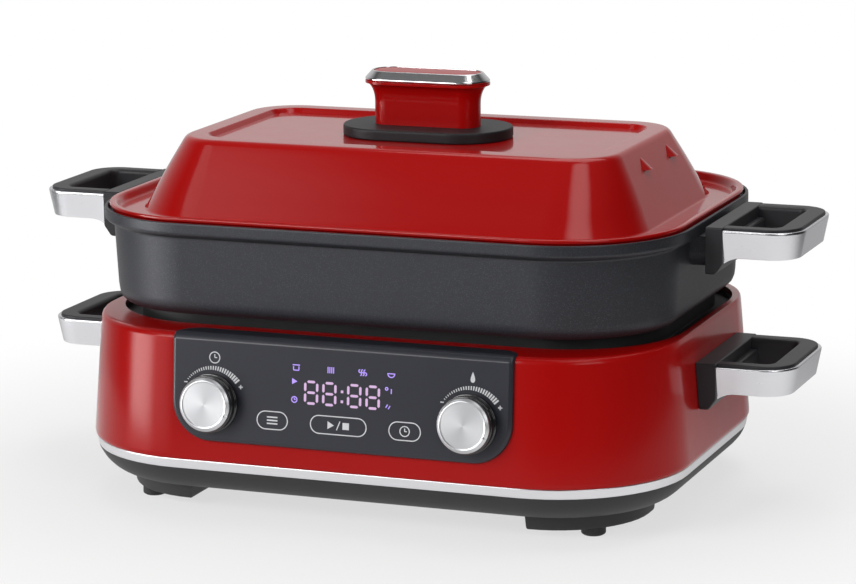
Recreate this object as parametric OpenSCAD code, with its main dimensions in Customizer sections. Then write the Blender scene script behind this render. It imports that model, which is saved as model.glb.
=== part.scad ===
/* [Body] */
// Half width of the body at its top edge
shell_half_w = 162.7; // [150:0.1:180]
// Half depth of the body at its top edge
shell_half_d = 119.1; // [110:0.1:130]
// Corner radius of the body at its top edge
shell_r = 67; // [60:0.5:75]
// Distance of the body's centre behind the origin
body_y = 4.8; // [0:0.1:12]
// Height of the flat ledge round the opening
ledge_z = 99.2; // [95:0.1:105]
// Height where the red wall is widest, just above the trim band
foot_z = 35.5; // [34:0.1:38]
// How far the wall stands out at its foot, from its top edge
wall_flare = 5.5; // [3:0.1:8]
// Wall thickness of the red shell
shell_wall = 3; // [2.5:0.1:4]
// Rounding of the ledge's outer edge
ledge_round = 2.6; // [1:0.1:4]
// Rounding under the foot of the wall
foot_round = 2.4; // [1:0.1:2.6]

/* [Trim band and tray] */
// Lower edge of the silver band
band_low_z = 26.5; // [24:0.1:28]
// Height of the silver band
band_h = 5.3; // [4:0.1:6]
// How far the band stands in from the widest part of the wall
band_inset = 0.9; // [0.5:0.1:1.5]
// How far the band leans in towards its lower edge
band_lean = 1; // [0:0.1:1.5]
// Thickness of the band at its lower edge
band_t = 1.6; // [1.2:0.1:2.5]
// Chamfer of the band's upper edge
band_chamfer = 0.5; // [0.3:0.1:0.8]
// Underside of the black tray
tray_z = 13.7; // [12:0.1:16]
// How far the tray's round side curves in under the band
tray_curve = 12; // [8:0.5:15]
// Thickness of the tray's floor and wall
tray_wall = 2.5; // [2:0.1:4]
// Height of the tray's lip above the band's lower edge
tray_lip_h = 10; // [7:0.5:14]
// Underside of the foot pods
pod_z = 4.5; // [3:0.1:6]
// How far the pods stand in from the tray's floor
pod_inset = 8; // [5:0.5:12]
// How far the pods' sides lean out
pod_lean = 1; // [0:0.1:2]
// Rounding of the pods' lower edge
pod_round = 2; // [1:0.1:3]
// Reach of a pod from its pad's centre, along the front
pod_along = 30.5; // [22:0.5:40]
// Reach of a pod from its pad's centre, along the side
pod_deep = 39; // [34:0.5:45]
// Foot pad centre in from the body's side
pad_side = 37.2; // [33:0.1:44]
// Foot pad centre in from the body's front and back
pad_front = 35.1; // [30:0.1:39]
// Foot pad radius
pad_r = 6.5; // [5:0.1:8]
// Chamfer of a foot pad's edge
pad_edge = 0.8; // [0.5:0.1:1.5]
// Depth of the recess that holds a foot pad
pad_seat = 1.5; // [1:0.1:2.5]
// Vent slot width
vent_w = 3; // [2:0.1:4]
// Vent slot length
vent_l = 34; // [20:1:44]
// Distance between vent slots
vent_pitch = 9; // [7:0.5:12]
// Bar between the two rows of vent slots
vent_bar = 16; // [10:1:24]
// Vent slots in a row
vent_count = 7; // [3:1:9]

/* [Well] */
// Width of the ledge at the sides
ledge_side = 4.2; // [4:0.1:10]
// Width of the ledge at the front
ledge_front = 24.6; // [22:0.1:28]
// Width of the ledge at the back
ledge_back = 6.6; // [6:0.1:10]
// How much tighter the opening's corners are than the body's
open_tight = 5; // [2:0.5:7]
// Width of the black shelf inside the opening
shelf_w = 9.5; // [8:0.1:11]
// Depth of the shelf below the ledge
shelf_drop = 5; // [4:0.1:7]
// Wall thickness of the black well ring
well_wall = 2; // [1.5:0.1:3]
// Gap between the well ring's collar and the pot
collar_gap = 1.2; // [0.6:0.1:2]
// Length of the well ring's inner wall below its shelf
well_skirt = 9; // [6:0.5:12]
// How far the well ring reaches under the ledge
well_flange = 0.9; // [0.5:0.1:1]
// Height of the reflector tray's floor
reflector_z = 72; // [68:0.5:76]
// Sheet thickness of the reflector tray
sheet_t = 1.2; // [0.8:0.1:2]

/* [Heater] */
// Gap between the pot and the plate that it stands on
rest_gap = 0.3; // [0.2:0.05:0.5]
// Thickness of the heating plate
plate_t = 7; // [6:0.5:9]
// Gap between the well ring's collar and the heating plate
plate_gap = 4; // [2:0.1:6]
// Half width of the element's loop
element_half_w = 112; // [100:1:120]
// Half depth of the element's loop
element_half_d = 60; // [50:1:66]
// Corner radius of the element's loop
element_bend = 38; // [25:1:45]
// Radius of the element's tube
element_r = 3.4; // [2.5:0.1:4]
// Depth of the element's groove in the plate
groove_depth = 2.4; // [1.5:0.1:3]
// Half distance between the element's terminals
terminal_x = 14; // [10:0.5:20]
// Radius of a terminal
terminal_r = 2.2; // [1.5:0.1:2.6]
// Length of a terminal
terminal_l = 33; // [31:0.5:36]
// Post position across
post_x = 70; // [55:1:80]
// Post position front to back
post_y = 30; // [22:1:38]
// Post radius
post_r = 5; // [4:0.1:6]
// Cut-out thermostat radius
cutout_r = 9; // [6:0.5:10]
// Cut-out thermostat height
cutout_h = 10; // [8:0.5:12]
// Width, thickness and length of the cut-out's tabs
tab_w = 3; // [2:0.1:4]
tab_t = 0.8; // [0.6:0.1:1.2]
tab_l = 7; // [5:0.5:8]
// Cut-out and fuse position across, from the cooking centre
cutout_x = 45; // [38:1:50]
// Thermal fuse radius
fuse_r = 2.6; // [1.8:0.1:3]
// Radius of the fuse's leads
fuse_lead_r = 0.6; // [0.4:0.05:0.8]
// Thermal fuse length
fuse_l = 16; // [10:0.5:20]

/* [Temperature sensor] */
// Radius of the sensor's cap
sensor_r = 13; // [11:0.5:14]
// Thickness of the sensor's cap
sensor_t = 3; // [2:0.1:4]
// Radius of the sensor's stem
stem_r = 4; // [3:0.1:5]
// Gap between the sensor and the hole in the plate
sensor_gap = 2; // [1.5:0.1:3]
// Running gap between the stem and its guide
stem_gap = 0.06; // [0.03:0.01:0.1]
// Guide wall thickness
guide_wall = 2.9; // [2:0.1:3.2]
// Height of the guide
guide_h = 13; // [10:0.5:16]
// Spring wire radius
wire_r = 0.9; // [0.6:0.05:1]
// Spring coil radius at the middle of the wire
coil_r = 9.2; // [8.8:0.1:10]
// Turns of the spring
coil_turns = 6; // [4:1:7]

/* [Control panel] */
// Height of the knobs' centres
control_z = 64; // [60:0.5:66]
// How far the panel stands proud of the wall
panel_proud = 2.9; // [2.5:0.1:4]
// Distance of the panel's side from the shell's side
panel_side = 67.7; // [66:0.1:71]
// Depth of the panel below the knobs' centres
panel_low = 20.8; // [18:0.1:22]
// Radius of the panel's lower corners
panel_r = 21.5; // [15:0.5:24]
// Rounding of the panel's edge
panel_edge = 2.2; // [1:0.1:2.6]
// Thickness of the panel's top above the ledge
panel_top_t = 2.4; // [1.5:0.1:4]
// How far the panel's top reaches back over the ledge
panel_top_d = 17; // [10:0.5:20]
// Radius of the top's rear corners
panel_top_r = 12; // [6:0.5:14]
// Distance of the window's side from the panel's side
window_side = 9; // [7:0.5:11]
// Window reach below the knobs' centres
window_low = 15; // [14:0.5:16]
// Window reach above the knobs' centres
window_high = 28; // [26:0.5:29]
// Depth of the control board behind the wall's outer face
board_depth = 10.4; // [9:0.1:12]
// Thickness of the circuit boards
board_t = 1.6; // [1.2:0.1:2]
// Gap between the control board and the window's edges
board_gap = 1.5; // [1:0.1:3]
// Half width of the display
display_half_w = 24; // [20:0.5:28]
// Height of the display
display_h = 17; // [14:0.5:20]
// Height of the display's middle above the knobs' centres
display_v = 10; // [9:0.5:12]
// Distance of an outer touch key from the knob beside it
key_in = 35; // [30:0.5:40]
// Radius of a touch key's sensing spring
touch_r = 3; // [2:0.1:4]
// Wall of a touch key's sensing spring
touch_wall = 1; // [0.6:0.1:1.4]
// Depth of the touch keys below the knobs' centres
key_low = 6.6; // [4:0.1:8]

/* [Knobs] */
// Distance of a knob from the panel's side
knob_in = 23; // [19:0.5:27]
// Radius of a knob's black body
knob_r = 15.6; // [13:0.1:17]
// Radius of a knob's metal cap
knob_cap_r = 14.26; // [10:0.01:14.5]
// Gap between a knob and the panel
knob_gap = 0.4; // [0.3:0.05:1]
// Height of a knob's black body
knob_h = 6.9; // [5:0.1:9]
// Thickness of a knob's metal cap
knob_cap_t = 2.8; // [2:0.1:4]
// Chamfer of a knob's black body
knob_edge = 1.2; // [0.6:0.1:2]
// Chamfer of a knob's metal cap
cap_edge = 1; // [0.5:0.1:1.6]
// Length of the pointer notch in a cap
notch_l = 2.2; // [1.5:0.1:5]
// Width of the pointer notch
notch_w = 1.1; // [0.8:0.1:2]
// Radius of an encoder shaft
shaft_r = 3; // [2.5:0.1:3.5]
// Running gap between a shaft and its bushing
shaft_gap = 0.06; // [0.03:0.01:0.1]
// Half width of an encoder's case
encoder_half = 6.5; // [6:0.1:8]
// Height of an encoder's case
encoder_h = 5.5; // [5:0.1:6]

/* [Pot] */
// How far the pot's rim stands out past the opening at the sides
rim_over_w = 5.9; // [4:0.1:8]
// How far the pot's rim stands out past the opening at the front and back
rim_over_d = 14.5; // [12:0.1:17]
// How much wider the corners of the pot's rim are than the opening's
rim_over_r = 5; // [2:0.5:8]
// Top of the pot's rim
rim_z = 155.5; // [150:0.1:162]
// Height of the rim's outer band
rim_h = 7; // [5:0.1:9]
// How far the wall stands in below the rim
rim_step = 5; // [4:0.1:7]
// Underside of the pot
pot_z = 104.6; // [103:0.1:108]
// Wall and floor thickness of the pot
pot_wall = 3.2; // [2.5:0.1:4]
// How far the wall draws in from the rim to the floor
pot_draft = 2.2; // [1:0.1:4]
// Rounding of the pot's lower edge
pot_round = 7; // [5:0.5:10]
// Rim wall thickness round the lid
rim_wall = 1.8; // [1.4:0.1:2.2]
// Depth of the lid's seat below the rim
seat_drop = 3.5; // [2.5:0.1:4]
// Chamfer of the rim's outer edges
rim_chamfer = 1; // [0.6:0.1:2]

/* [Lid] */
// Gap between the lid's lip and the pot's rim
lip_gap = 1; // [0.5:0.1:1.5]
// Height of the lid's rolled lip
lip_h = 5.7; // [4:0.1:7]
// Width of the rolled lip
lip_w = 4; // [3:0.1:5]
// Chamfer of the rolled lip's edges
lip_chamfer = 1; // [0.5:0.1:1.6]
// Depth of the trough between the lip and the dome
trough_d = 4.4; // [2:0.1:5]
// Width of the flank between the lip and the trough
trough_flank = 1.6; // [1:0.1:3]
// Width of the trough's underside beyond the lip
trough_under = 3.4; // [3:0.1:5]
// Distance of the dome's foot from the lip, at the sides
dome_side = 19.6; // [15:0.1:24]
// Distance of the dome's foot from the lip, at the front and back
dome_front = 19.2; // [15:0.1:24]
// How much tighter the dome's corners are than the lip's, at its foot
dome_tight = 18.2; // [10:0.1:24]
// Fillet of the dome's foot
dome_fillet = 1.5; // [1:0.1:3]
// Height of the dome's top
dome_z = 191.8; // [180:0.1:200]
// How far the dome draws in from foot to top, at the sides
dome_lean_w = 18.8; // [12:0.1:25]
// How far the dome draws in from foot to top, at the front and back
dome_lean_d = 29.2; // [22:0.1:36]
// How much tighter the dome's corners are at its top
dome_lean_r = 20; // [14:0.5:26]
// Rounding of the dome's top edge
dome_round = 3; // [2:0.1:5]
// Border round the recess in the dome's top
recess_border = 11.5; // [8:0.5:14]
// Depth of the recess in the dome's top
recess_drop = 2.5; // [1:0.1:4]
// Sheet thickness of the lid
lid_t = 2; // [1.5:0.1:3]
// Width of a steam louvre
louvre_w = 16; // [10:0.5:20]
// Height of a steam louvre
louvre_h = 5; // [3:0.1:7]
// Distance of the louvres from the middle
louvre_y = 24; // [15:0.5:32]
// Height of the louvres below the dome's top
louvre_drop = 10; // [8:0.5:14]
// How far a louvre stands out of the dome
louvre_reach = 3.4; // [2:0.1:5]
// Wall of a louvre's hood
louvre_wall = 1.4; // [1:0.1:2]

/* [Lid knob] */
// Half width of the knob's black foot
foot_half_w = 47.5; // [44:0.5:55]
// Half depth of the knob's black foot
foot_half_d = 28; // [22:0.5:32]
// Thickness of the knob's black foot
foot_t = 6; // [5:0.1:9]
// Half width of the grip's column
grip_half_w = 30; // [26:0.5:34]
// Half depth of the grip's column
grip_half_d = 9.5; // [8:0.1:12]
// Height of the grip above the recess
grip_h = 30; // [26:0.5:36]
// How far the grip flares out under its ring
grip_flare = 5.2; // [3:0.1:7]
// Height of the flare
flare_h = 12; // [8:0.5:15]
// Height of the flare's straight edge
flare_edge = 1.5; // [1:0.1:3]
// Height of the chrome ring
ring_top_h = 5.4; // [4:0.1:7]
// How far the chrome ring's bevel draws in
ring_bevel = 3.8; // [2:0.1:4]
// Width of the chrome ring's flat top edge
ring_edge = 1; // [0.6:0.1:2]
// Depth of the red inlay below the chrome ring's top
inlay_drop = 0.3; // [0.1:0.05:1]
// Half distance between the knob's screws
knob_screw_x = 18; // [12:0.5:22]

/* [Handles] */
// Half length of a handle
handle_half_l = 40; // [36:0.5:44]
// Reach of a handle beyond its bracket
handle_reach = 40.6; // [36:0.1:46]
// Height of a handle's silver trim
trim_h = 17.9; // [14:0.1:20]
// Thickness of a handle's silver trim
trim_t = 2.2; // [1.5:0.1:3]
// Lower lip of the trim where it meets its bracket
trim_rise = 3.1; // [1:0.1:5]
// How far the trim leans in towards its lower edge
trim_lean = 3; // [0:0.1:4]
// Corner radius of a handle's outer end
handle_r = 18; // [14:0.5:20]
// Black edge above the trim
bracket_over = 1.4; // [0.5:0.1:3]
// Black bracket below the trim
bracket_under = 5.6; // [3:0.1:8]
// Width of a handle's arms and bar
arm_w = 11; // [9:0.1:13]
// Top of the pot handles' trim
pot_handle_z = 153.6; // [150:0.1:158]
// Start of the pot handles' trim, out from the pot's rim
pot_handle_out = 14; // [10:0.1:18]
// Face of the pot's handle boss, out from the pot's rim
boss_out = 4.6; // [2:0.1:7]
// Height of the boss's foot above its bracket's
boss_rise = 2; // [0:0.1:4]
// Half length of the pot's handle boss
boss_half_l = 35; // [28:0.5:38]
// Top of the body handles' trim
body_handle_z = 80.8; // [78:0.1:86]
// Start of the body handles' trim, out from the body's top edge
body_handle_out = 12.7; // [10:0.1:18]
// Distance of a handle's screws from its middle
handle_screw_y = 20; // [14:0.5:26]

/* [Power parts] */
// Half width of the power board
power_half_w = 50; // [45:0.5:55]
// Half depth of the power board
power_half_d = 33; // [30:0.5:36]
// Distance of the power board's middle from the body's side
power_side = 87.7; // [82:0.1:95]
// Height of the power board above the tray's floor
power_rise = 10; // [8:0.5:14]
// Distance of the inlet from the middle of the back
inlet_x = 60; // [50:1:70]
// Depth of the inlet's middle below the knobs' centres
inlet_drop = 9; // [6:0.5:12]
// Half width of the inlet's case
inlet_half_w = 14; // [13:0.5:16]
// Half height of the inlet's case
inlet_half_h = 10.5; // [10:0.5:12]
// Depth of the inlet's case
inlet_d = 20; // [18:0.5:22]
// Depth of the inlet's socket
socket_d = 15; // [14:0.5:16]
// Wall of the inlet round its socket
inlet_wall = 2; // [1.5:0.1:2.5]
// Overhang of the inlet's flange
inlet_flange = 3; // [2:0.1:4]
// Thickness of the inlet's flange
inlet_flange_t = 2; // [1.5:0.1:3]
// Width of a contact pin
pin_w = 2; // [1.5:0.1:2.4]
// Height of a contact pin
pin_h = 4; // [3:0.1:5]
// Distance between contact pins
pin_pitch = 7; // [6.5:0.1:8]
// Length of a pin behind the inlet's case
pin_tail = 6; // [4:0.5:8]
// Relay's width, depth and height
relay_w = 20; // [16:0.5:24]
relay_d = 16; // [12:0.5:18]
relay_h = 16; // [12:0.5:20]
// Transformer's core width and depth, and the thickness of its two yokes
core_w = 34; // [30:0.5:36]
core_d = 28; // [24:0.5:30]
core_yoke = 6; // [4:0.5:8]
// Height of the transformer's coil, and how far it stands in from the core
coil_h = 12; // [10:0.5:16]
coil_inset = 4; // [3:0.5:6]
// Filter capacitor's width, depth and height
filter_w = 26; // [20:0.5:30]
filter_d = 10; // [8:0.5:12]
filter_h = 18; // [14:0.5:22]
// Radius of a lead
lead_r = 1.4; // [1:0.1:1.8]
// Half width of the ribbon
ribbon_half = 9; // [6:0.5:12]
// Thickness of the ribbon
ribbon_t = 1; // [0.6:0.1:1.4]

/* [Screws and fits] */
// Radius of the large screws
bolt_r = 2; // [1.8:0.1:2.2]
// Radius of the small screws
screw_r = 1.4; // [1:0.1:1.5]
// Gap round a screw in its hole
screw_gap = 0.1; // [0.05:0.05:0.2]
// Height of a screw head
head_h = 2.2; // [1.5:0.1:3]
// Gap between fixed pieces that slip together
slip_gap = 0.2; // [0.1:0.05:0.3]

/* [Hidden] */
$fn = 96;
// Facets on the corners of lofted and hulled shapes
loft_fn = 32;
// Overshoot that takes a cut clear through a face
cut = 1;

red = [0.62, 0.02, 0.02];
black = [0.06, 0.06, 0.065];
slate = [0.12, 0.125, 0.14];
silver = [0.78, 0.78, 0.8];
steel = [0.6, 0.6, 0.62];
brass = [0.75, 0.6, 0.3];
green = [0.1, 0.35, 0.18];
copper = [0.72, 0.42, 0.25];

function grow(o, d) = [o[0] + d, o[1] + d, o[2] + d];
function arc(x, y, r, from, to, steps) =
    [for (i = [0:steps]) let (t = from + (to - from) * i / steps) [x + r * cos(t), y + r * sin(t)]];

// Short flat left at the ends of the lid knob's foot and grip
end_flat = 1;
// Outlines as half width, half depth and corner radius
shell_o = [shell_half_w, shell_half_d, shell_r];
open_o = shell_o - [ledge_side, (ledge_front + ledge_back) / 2, open_tight];
rim_o = open_o + [rim_over_w, rim_over_d, rim_over_r];
lip_o = grow(rim_o, -rim_wall - lip_gap);
plate_o = grow(open_o, -shelf_w - well_wall - plate_gap);
element_o = [element_half_w, element_half_d, element_bend];
dome_o = lip_o - [dome_side, dome_front, dome_tight];
top_o = dome_o - [dome_lean_w, dome_lean_d, dome_lean_r];
recess_o = grow(top_o, -recess_border);
knob_foot_o = [foot_half_w, foot_half_d, foot_half_d - end_flat];
grip_o = [grip_half_w, grip_half_d, grip_half_d - end_flat / 2];

// The cooking centre, and what stands on each outline
cook_y = body_y + (ledge_front - ledge_back) / 2;
boss_x = rim_o[0] + boss_out;
pot_handle_x = rim_o[0] + pot_handle_out;
body_handle_x = shell_half_w + body_handle_out;
pad_x = shell_half_w - pad_side;
pad_y = shell_half_d - pad_front;
pod_gap_w = pad_x - pod_along;
pod_gap_d = pad_y - pod_deep;
power_x = shell_half_w - power_side;

// Wall of the body: its slope and its reach at a height
wall_top_z = ledge_z - ledge_round;
wall_slope = atan(wall_flare / (wall_top_z - foot_z));
function wall_out(z) = (wall_top_z - z) * tan(wall_slope);
ledge_low = ledge_z - shell_wall;
band_top_z = band_low_z + band_h;
band_out = wall_flare - band_inset;
band_in = band_out - band_lean - band_t;
tray_out = band_out - band_lean;
tray_floor_z = tray_z + tray_wall;
tray_floor_o = grow(shell_o, tray_out - tray_curve);
front_y = shell_half_d + wall_out(control_z);

// Heater and sensor heights
plate_top = pot_z - rest_gap;
plate_low = plate_top - plate_t;
floor_top = reflector_z + sheet_t;
shelf_z = ledge_z - shelf_drop;
shelf_low = shelf_z - well_wall;
element_z = plate_low - element_r + groove_depth;
terminal_mid = terminal_x + element_r;
// Room round the stem and the terminals in the reflector's holes
stem_room = 0.5;
terminal_room = 2.5;
cap_low = plate_top - sensor_t;
guide_r = stem_r + stem_gap + guide_wall;
guide_flange_t = 2;
guide_flange_r = coil_r + wire_r + 3;
clip_t = 1.2;
clip_drop = 0.3;
clip_groove = 0.8;
clip_out = 2.5;
stem_tail = 5;
// Gap between the spring's ends and what they stand on
coil_seat = 0.1;
stem_low = reflector_z - clip_drop - clip_t - stem_tail;
spring_low = floor_top + guide_flange_t + wire_r + coil_seat;
spring_high = cap_low - wire_r - coil_seat;
collar_top = pot_z - collar_gap;

// Pot and lid heights
rim_low = rim_z - rim_h;
seat_z = rim_z - seat_drop;
pot_floor = pot_z + pot_wall;
lip_low = seat_z + rest_gap;
lip_top = lip_low + lip_h;
flange_top = lip_top - trough_d;
recess_z = dome_z - recess_drop;
lid_under = recess_z - lid_t;
flare_z = recess_z + grip_h - flare_h;
ring_z = recess_z + grip_h;
grip_bore = 14;
// Gap left beyond a screw's tip in a blind hole
tip_gap = 2;
// Length by which joined bodies run into each other
bite = 1;

// Places across the panel
panel_half_w = shell_half_w - panel_side;
window_half_w = panel_half_w - window_side;
knob_x = panel_half_w - knob_in;
key_x = knob_x - key_in;

// Knobs, from the wall's outer face
knob_low = panel_proud + knob_gap;
knob_top = knob_low + knob_h;
knob_skin = 1.5;
shaft_top = knob_top - knob_skin;
encoder_top = encoder_h - board_depth;
shaft_foot = 1;
shaft_low = shaft_foot - board_depth;
bushing_wall = 1.8;
bolt_hole = bolt_r + screw_gap;
screw_hole = screw_r + screw_gap;

// Fasteners' places
panel_screw_x = (panel_half_w + window_half_w) / 2;
// Distance of the upper panel screws and the lower board posts from the window's edges
fastener_in = 6;
panel_screw_v = [-window_low / 2, window_high - fastener_in];
board_post_r = 3.5;
// Distance of the board posts from a knob's side
post_room = 4;
board_post_x = knob_x - knob_r - post_room;
board_post_v = [fastener_in - window_low, window_high - 2 * board_post_r];
panel_skin = 1;
notch_turn = -24;
shaft_window = 0.6;
tray_screw_turn = 20;
// Distance of the tray's screws from the body's top edge
tray_screw_in = 30;
tray_screw_reach = shell_r - tray_screw_in;
tray_screw_x = shell_half_w - shell_r + tray_screw_reach * cos(tray_screw_turn);
tray_screw_y = shell_half_d - shell_r + tray_screw_reach * sin(tray_screw_turn);
// Depth of the tray screws' heads in the pods
tray_head_d = 6;
tray_head_z = pod_z + tray_head_d;
boss_low = tray_floor_z;
// Room between the screw bosses and the reflector
boss_room = 6;
boss_high = reflector_z - boss_room;
boss_r = 5;
tray_screw_l = 26;
// Distance of the power board's posts from its edges
power_edge = 6;
power_post_x = power_half_w - power_edge;
power_post_y = power_half_d - power_edge;
power_z = tray_floor_z + power_rise;
power_top = power_z + board_t;
handle_screw_x = 7;

// Draws its child at each mirrored pair of places
module four(x, y) {
    for (i = [-1, 1], j = [-1, 1]) translate([i * x, j * y, 0]) children();
}

module round_rect(o) {
    square([2 * (o[0] - o[2]), 2 * o[1]], center = true);
    square([2 * o[0], 2 * (o[1] - o[2])], center = true);
    four(o[0] - o[2], o[1] - o[2]) circle(o[2]);
}

module slab(o, low, high) {
    translate([0, 0, low]) linear_extrude(high - low) round_rect(o);
}

// Sweeps a wall's section round an outline: the section's x runs outwards from it, and its y is height
module around(o) {
    for (turn = [0, 180]) rotate([0, 0, turn]) {
        rotate([90, 0, 0]) linear_extrude(2 * (o[1] - o[2]), center = true) translate([o[0], 0]) children();
        rotate([90, 0, 90]) linear_extrude(2 * (o[0] - o[2]), center = true) translate([o[1], 0]) children();
        translate([o[0] - o[2], o[1] - o[2], 0]) corner(o, 0) children();
        translate([o[2] - o[0], o[1] - o[2], 0]) corner(o, 90) children();
    }
}

module corner(o, turn) {
    rotate([0, 0, turn]) rotate_extrude(angle = 90) translate([o[2], 0]) children();
}

// Skin through a list of outlines, each an outline and its height
function loft_ring(o, z) = [
    for (q = [0:3]) for (i = [0:loft_fn / 4])
        let (t = 90 * q + 360 * i / loft_fn, sx = q == 0 || q == 3 ? 1 : -1, sy = q < 2 ? 1 : -1)
        [sx * (o[0] - o[2]) + o[2] * cos(t), sy * (o[1] - o[2]) + o[2] * sin(t), z]
];

module loft(levels) tube([for (level = levels) loft_ring(level[0], level[1])]);

// A closed tube through rings of points, each ring turning anticlockwise about the way that the tube runs
module tube(rings) {
    sides = len(rings[0]);
    last = len(rings) - 1;
    walls = [
        for (i = [0:last - 1]) for (k = [0:sides - 1])
            let (a = i * sides + k, b = i * sides + (k + 1) % sides)
            each [[a, a + sides, b + sides], [a, b + sides, b]]
    ];
    ends = [[for (k = [0:sides - 1]) k], [for (k = [sides - 1:-1:0]) last * sides + k]];
    polyhedron([for (ring = rings) each ring], concat(walls, ends), 2);
}

module at_body() translate([0, body_y, 0]) children();
module at_cooker() translate([0, cook_y, 0]) children();

// Puts x across, y up the wall and z out of it, on the front wall or, turned, on the back
module on_wall(turn) {
    at_body() rotate([0, 0, turn]) translate([0, -front_y, control_z])
        rotate([90 - wall_slope, 0, 0]) children();
}

module screw(r, head_r, length) {
    translate([0, 0, -length]) cylinder(length, r = r);
    difference() {
        cylinder(head_h, r = head_r);
        translate([0, 0, head_h / 2]) cylinder(head_h, r = head_r / 2, $fn = 6);
    }
}

// A round wire through points, none of them straight across from the next
module wire(points, r) {
    sides = 8;
    last = len(points) - 1;
    tube([
        for (i = [0:last]) let (
            along = points[min(i + 1, last)] - points[max(i - 1, 0)],
            side = cross(along, [1, 0, 0]),
            u = side / norm(side),
            v = cross(along, u) / norm(along)
        ) [for (k = [0:sides - 1]) points[i] + r * (cos(360 * k / sides) * u + sin(360 * k / sides) * v)]
    ]);
}

// Lid

module lid_shell() color(red) at_cooker() difference() {
    union() {
        loft([
            [grow(top_o, -lid_t), lid_under],
            [grow(dome_o, -lid_t), flange_top - lid_t],
            [grow(lip_o, -lip_w - trough_under), flange_top - lid_t],
            [grow(lip_o, -lip_w), flange_top + lip_chamfer],
            [grow(lip_o, -lip_w), lip_low],
            [grow(lip_o, -lip_chamfer), lip_low],
            [lip_o, lip_low + lip_chamfer],
            [lip_o, lip_top - lip_chamfer],
            [grow(lip_o, -lip_chamfer), lip_top],
            [grow(lip_o, lip_chamfer - lip_w), lip_top],
            [grow(lip_o, -lip_w - trough_flank), flange_top],
            [grow(dome_o, dome_fillet), flange_top],
            [dome_o, flange_top + dome_fillet],
            [grow(top_o, dome_round / 2), dome_z - dome_round],
            [top_o, dome_z - dome_round / 3],
            [grow(top_o, -dome_round / 2), dome_z],
            [recess_o, dome_z],
            [grow(recess_o, -lid_t), recess_z],
        ]);
        for (y = [-louvre_y, louvre_y]) translate([0, y, 0]) louvre(0);
    }
    for (x = [-knob_screw_x, knob_screw_x])
        translate([x, 0, lid_under - cut]) cylinder(lid_t + 2 * cut, r = bolt_hole);
    for (y = [-louvre_y, louvre_y]) translate([0, y, 0]) louvre(louvre_wall);
}

// A pressed hood on the dome's right end, and with a wall the slot under it
module louvre(wall) {
    lean = dome_lean_w / (dome_z - flange_top);
    low = dome_z - louvre_drop - louvre_h / 2;
    foot_x = top_o[0] + lean * (dome_z - low);
    reach = louvre_reach - wall;
    lip = louvre_wall / 2;
    back = wall > 0 ? -lid_t * 3 : -lid_t;
    half = louvre_w / 2 - wall;
    translate([foot_x, 0, low]) rotate([90, 0, 0]) linear_extrude(2 * half, center = true) polygon([
        [back, wall > 0 ? -cut / 4 : 0],
        [reach, wall > 0 ? -cut / 4 : 0],
        [reach, lip],
        [-lean * louvre_h - wall * 1.5, louvre_h - wall],
        [back - lean * louvre_h, louvre_h - wall],
    ]);
}

module lid_knob_foot() color(black) at_cooker() difference() {
    slab(knob_foot_o, recess_z, recess_z + foot_t);
    slab(grow(grip_o, slip_gap), recess_z - cut, recess_z + foot_t + cut);
}

module lid_knob_grip() color(red) at_cooker() difference() {
    union() {
        slab(grip_o, recess_z, ring_z);
        around(grip_o) polygon(concat(
            [[-bite, flare_z]],
            [for (t = [0:90 / 8:90]) [grip_flare * (1 - cos(t)), flare_z + (flare_h - flare_edge) * sin(t)]],
            [[grip_flare, ring_z], [-bite, ring_z]]
        ));
    }
    for (x = [-knob_screw_x, knob_screw_x])
        translate([x, 0, recess_z - cut]) cylinder(grip_bore + cut, r = bolt_hole);
}

module lid_knob_ring() color(silver) at_cooker() around(grip_o) polygon([
    [grip_flare - ring_bevel - ring_edge, ring_z],
    [grip_flare, ring_z],
    [grip_flare, ring_z + ring_edge],
    [grip_flare - ring_bevel, ring_z + ring_top_h],
    [grip_flare - ring_bevel - ring_edge, ring_z + ring_top_h],
]);

module lid_knob_inlay() color(red) at_cooker()
    slab(
        grow(grip_o, grip_flare - ring_bevel - ring_edge - slip_gap),
        ring_z,
        ring_z + ring_top_h - inlay_drop
    );

module lid_knob_screws() color(steel) at_cooker() for (x = [-knob_screw_x, knob_screw_x])
    translate([x, 0, lid_under]) mirror([0, 0, 1]) screw(bolt_r, 2 * bolt_r, lid_t + grip_bore - tip_gap);

// Pot

module pot() color(slate) at_cooker() difference() {
    union() {
        around(rim_o) polygon(concat(
            [[-2 * pot_round - rim_step, pot_z]],
            arc(-rim_step - pot_draft - pot_round, pot_z + pot_round, pot_round, -90, 0, 6),
            [
                [-rim_step, rim_low],
                [-rim_chamfer, rim_low],
                [0, rim_low + rim_chamfer],
                [0, rim_z - rim_chamfer / 2],
                [-rim_chamfer / 2, rim_z],
                [-rim_wall, rim_z],
                [-rim_wall, seat_z],
                [-rim_step - pot_wall, seat_z],
            ],
            arc(-rim_step - pot_draft - pot_round, pot_z + pot_round, pot_round - pot_wall, 0, -90, 6),
            [[-2 * pot_round - rim_step, pot_floor]]
        ));
        slab(grow(rim_o, -pot_round - rim_step - pot_draft - bite), pot_z, pot_floor);
        for (turn = [0, 180]) rotate([0, 0, turn]) handle_boss();
    }
    for (turn = [0, 180], y = [-handle_screw_y, handle_screw_y]) rotate([0, 0, turn])
        translate([boss_x - handle_screw_x, y, pot_screw_z()]) rotate([0, 90, 0])
            cylinder(handle_screw_x + cut, r = bolt_hole);
}

function pot_screw_z() = pot_handle_z - trim_h / 2;

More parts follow.
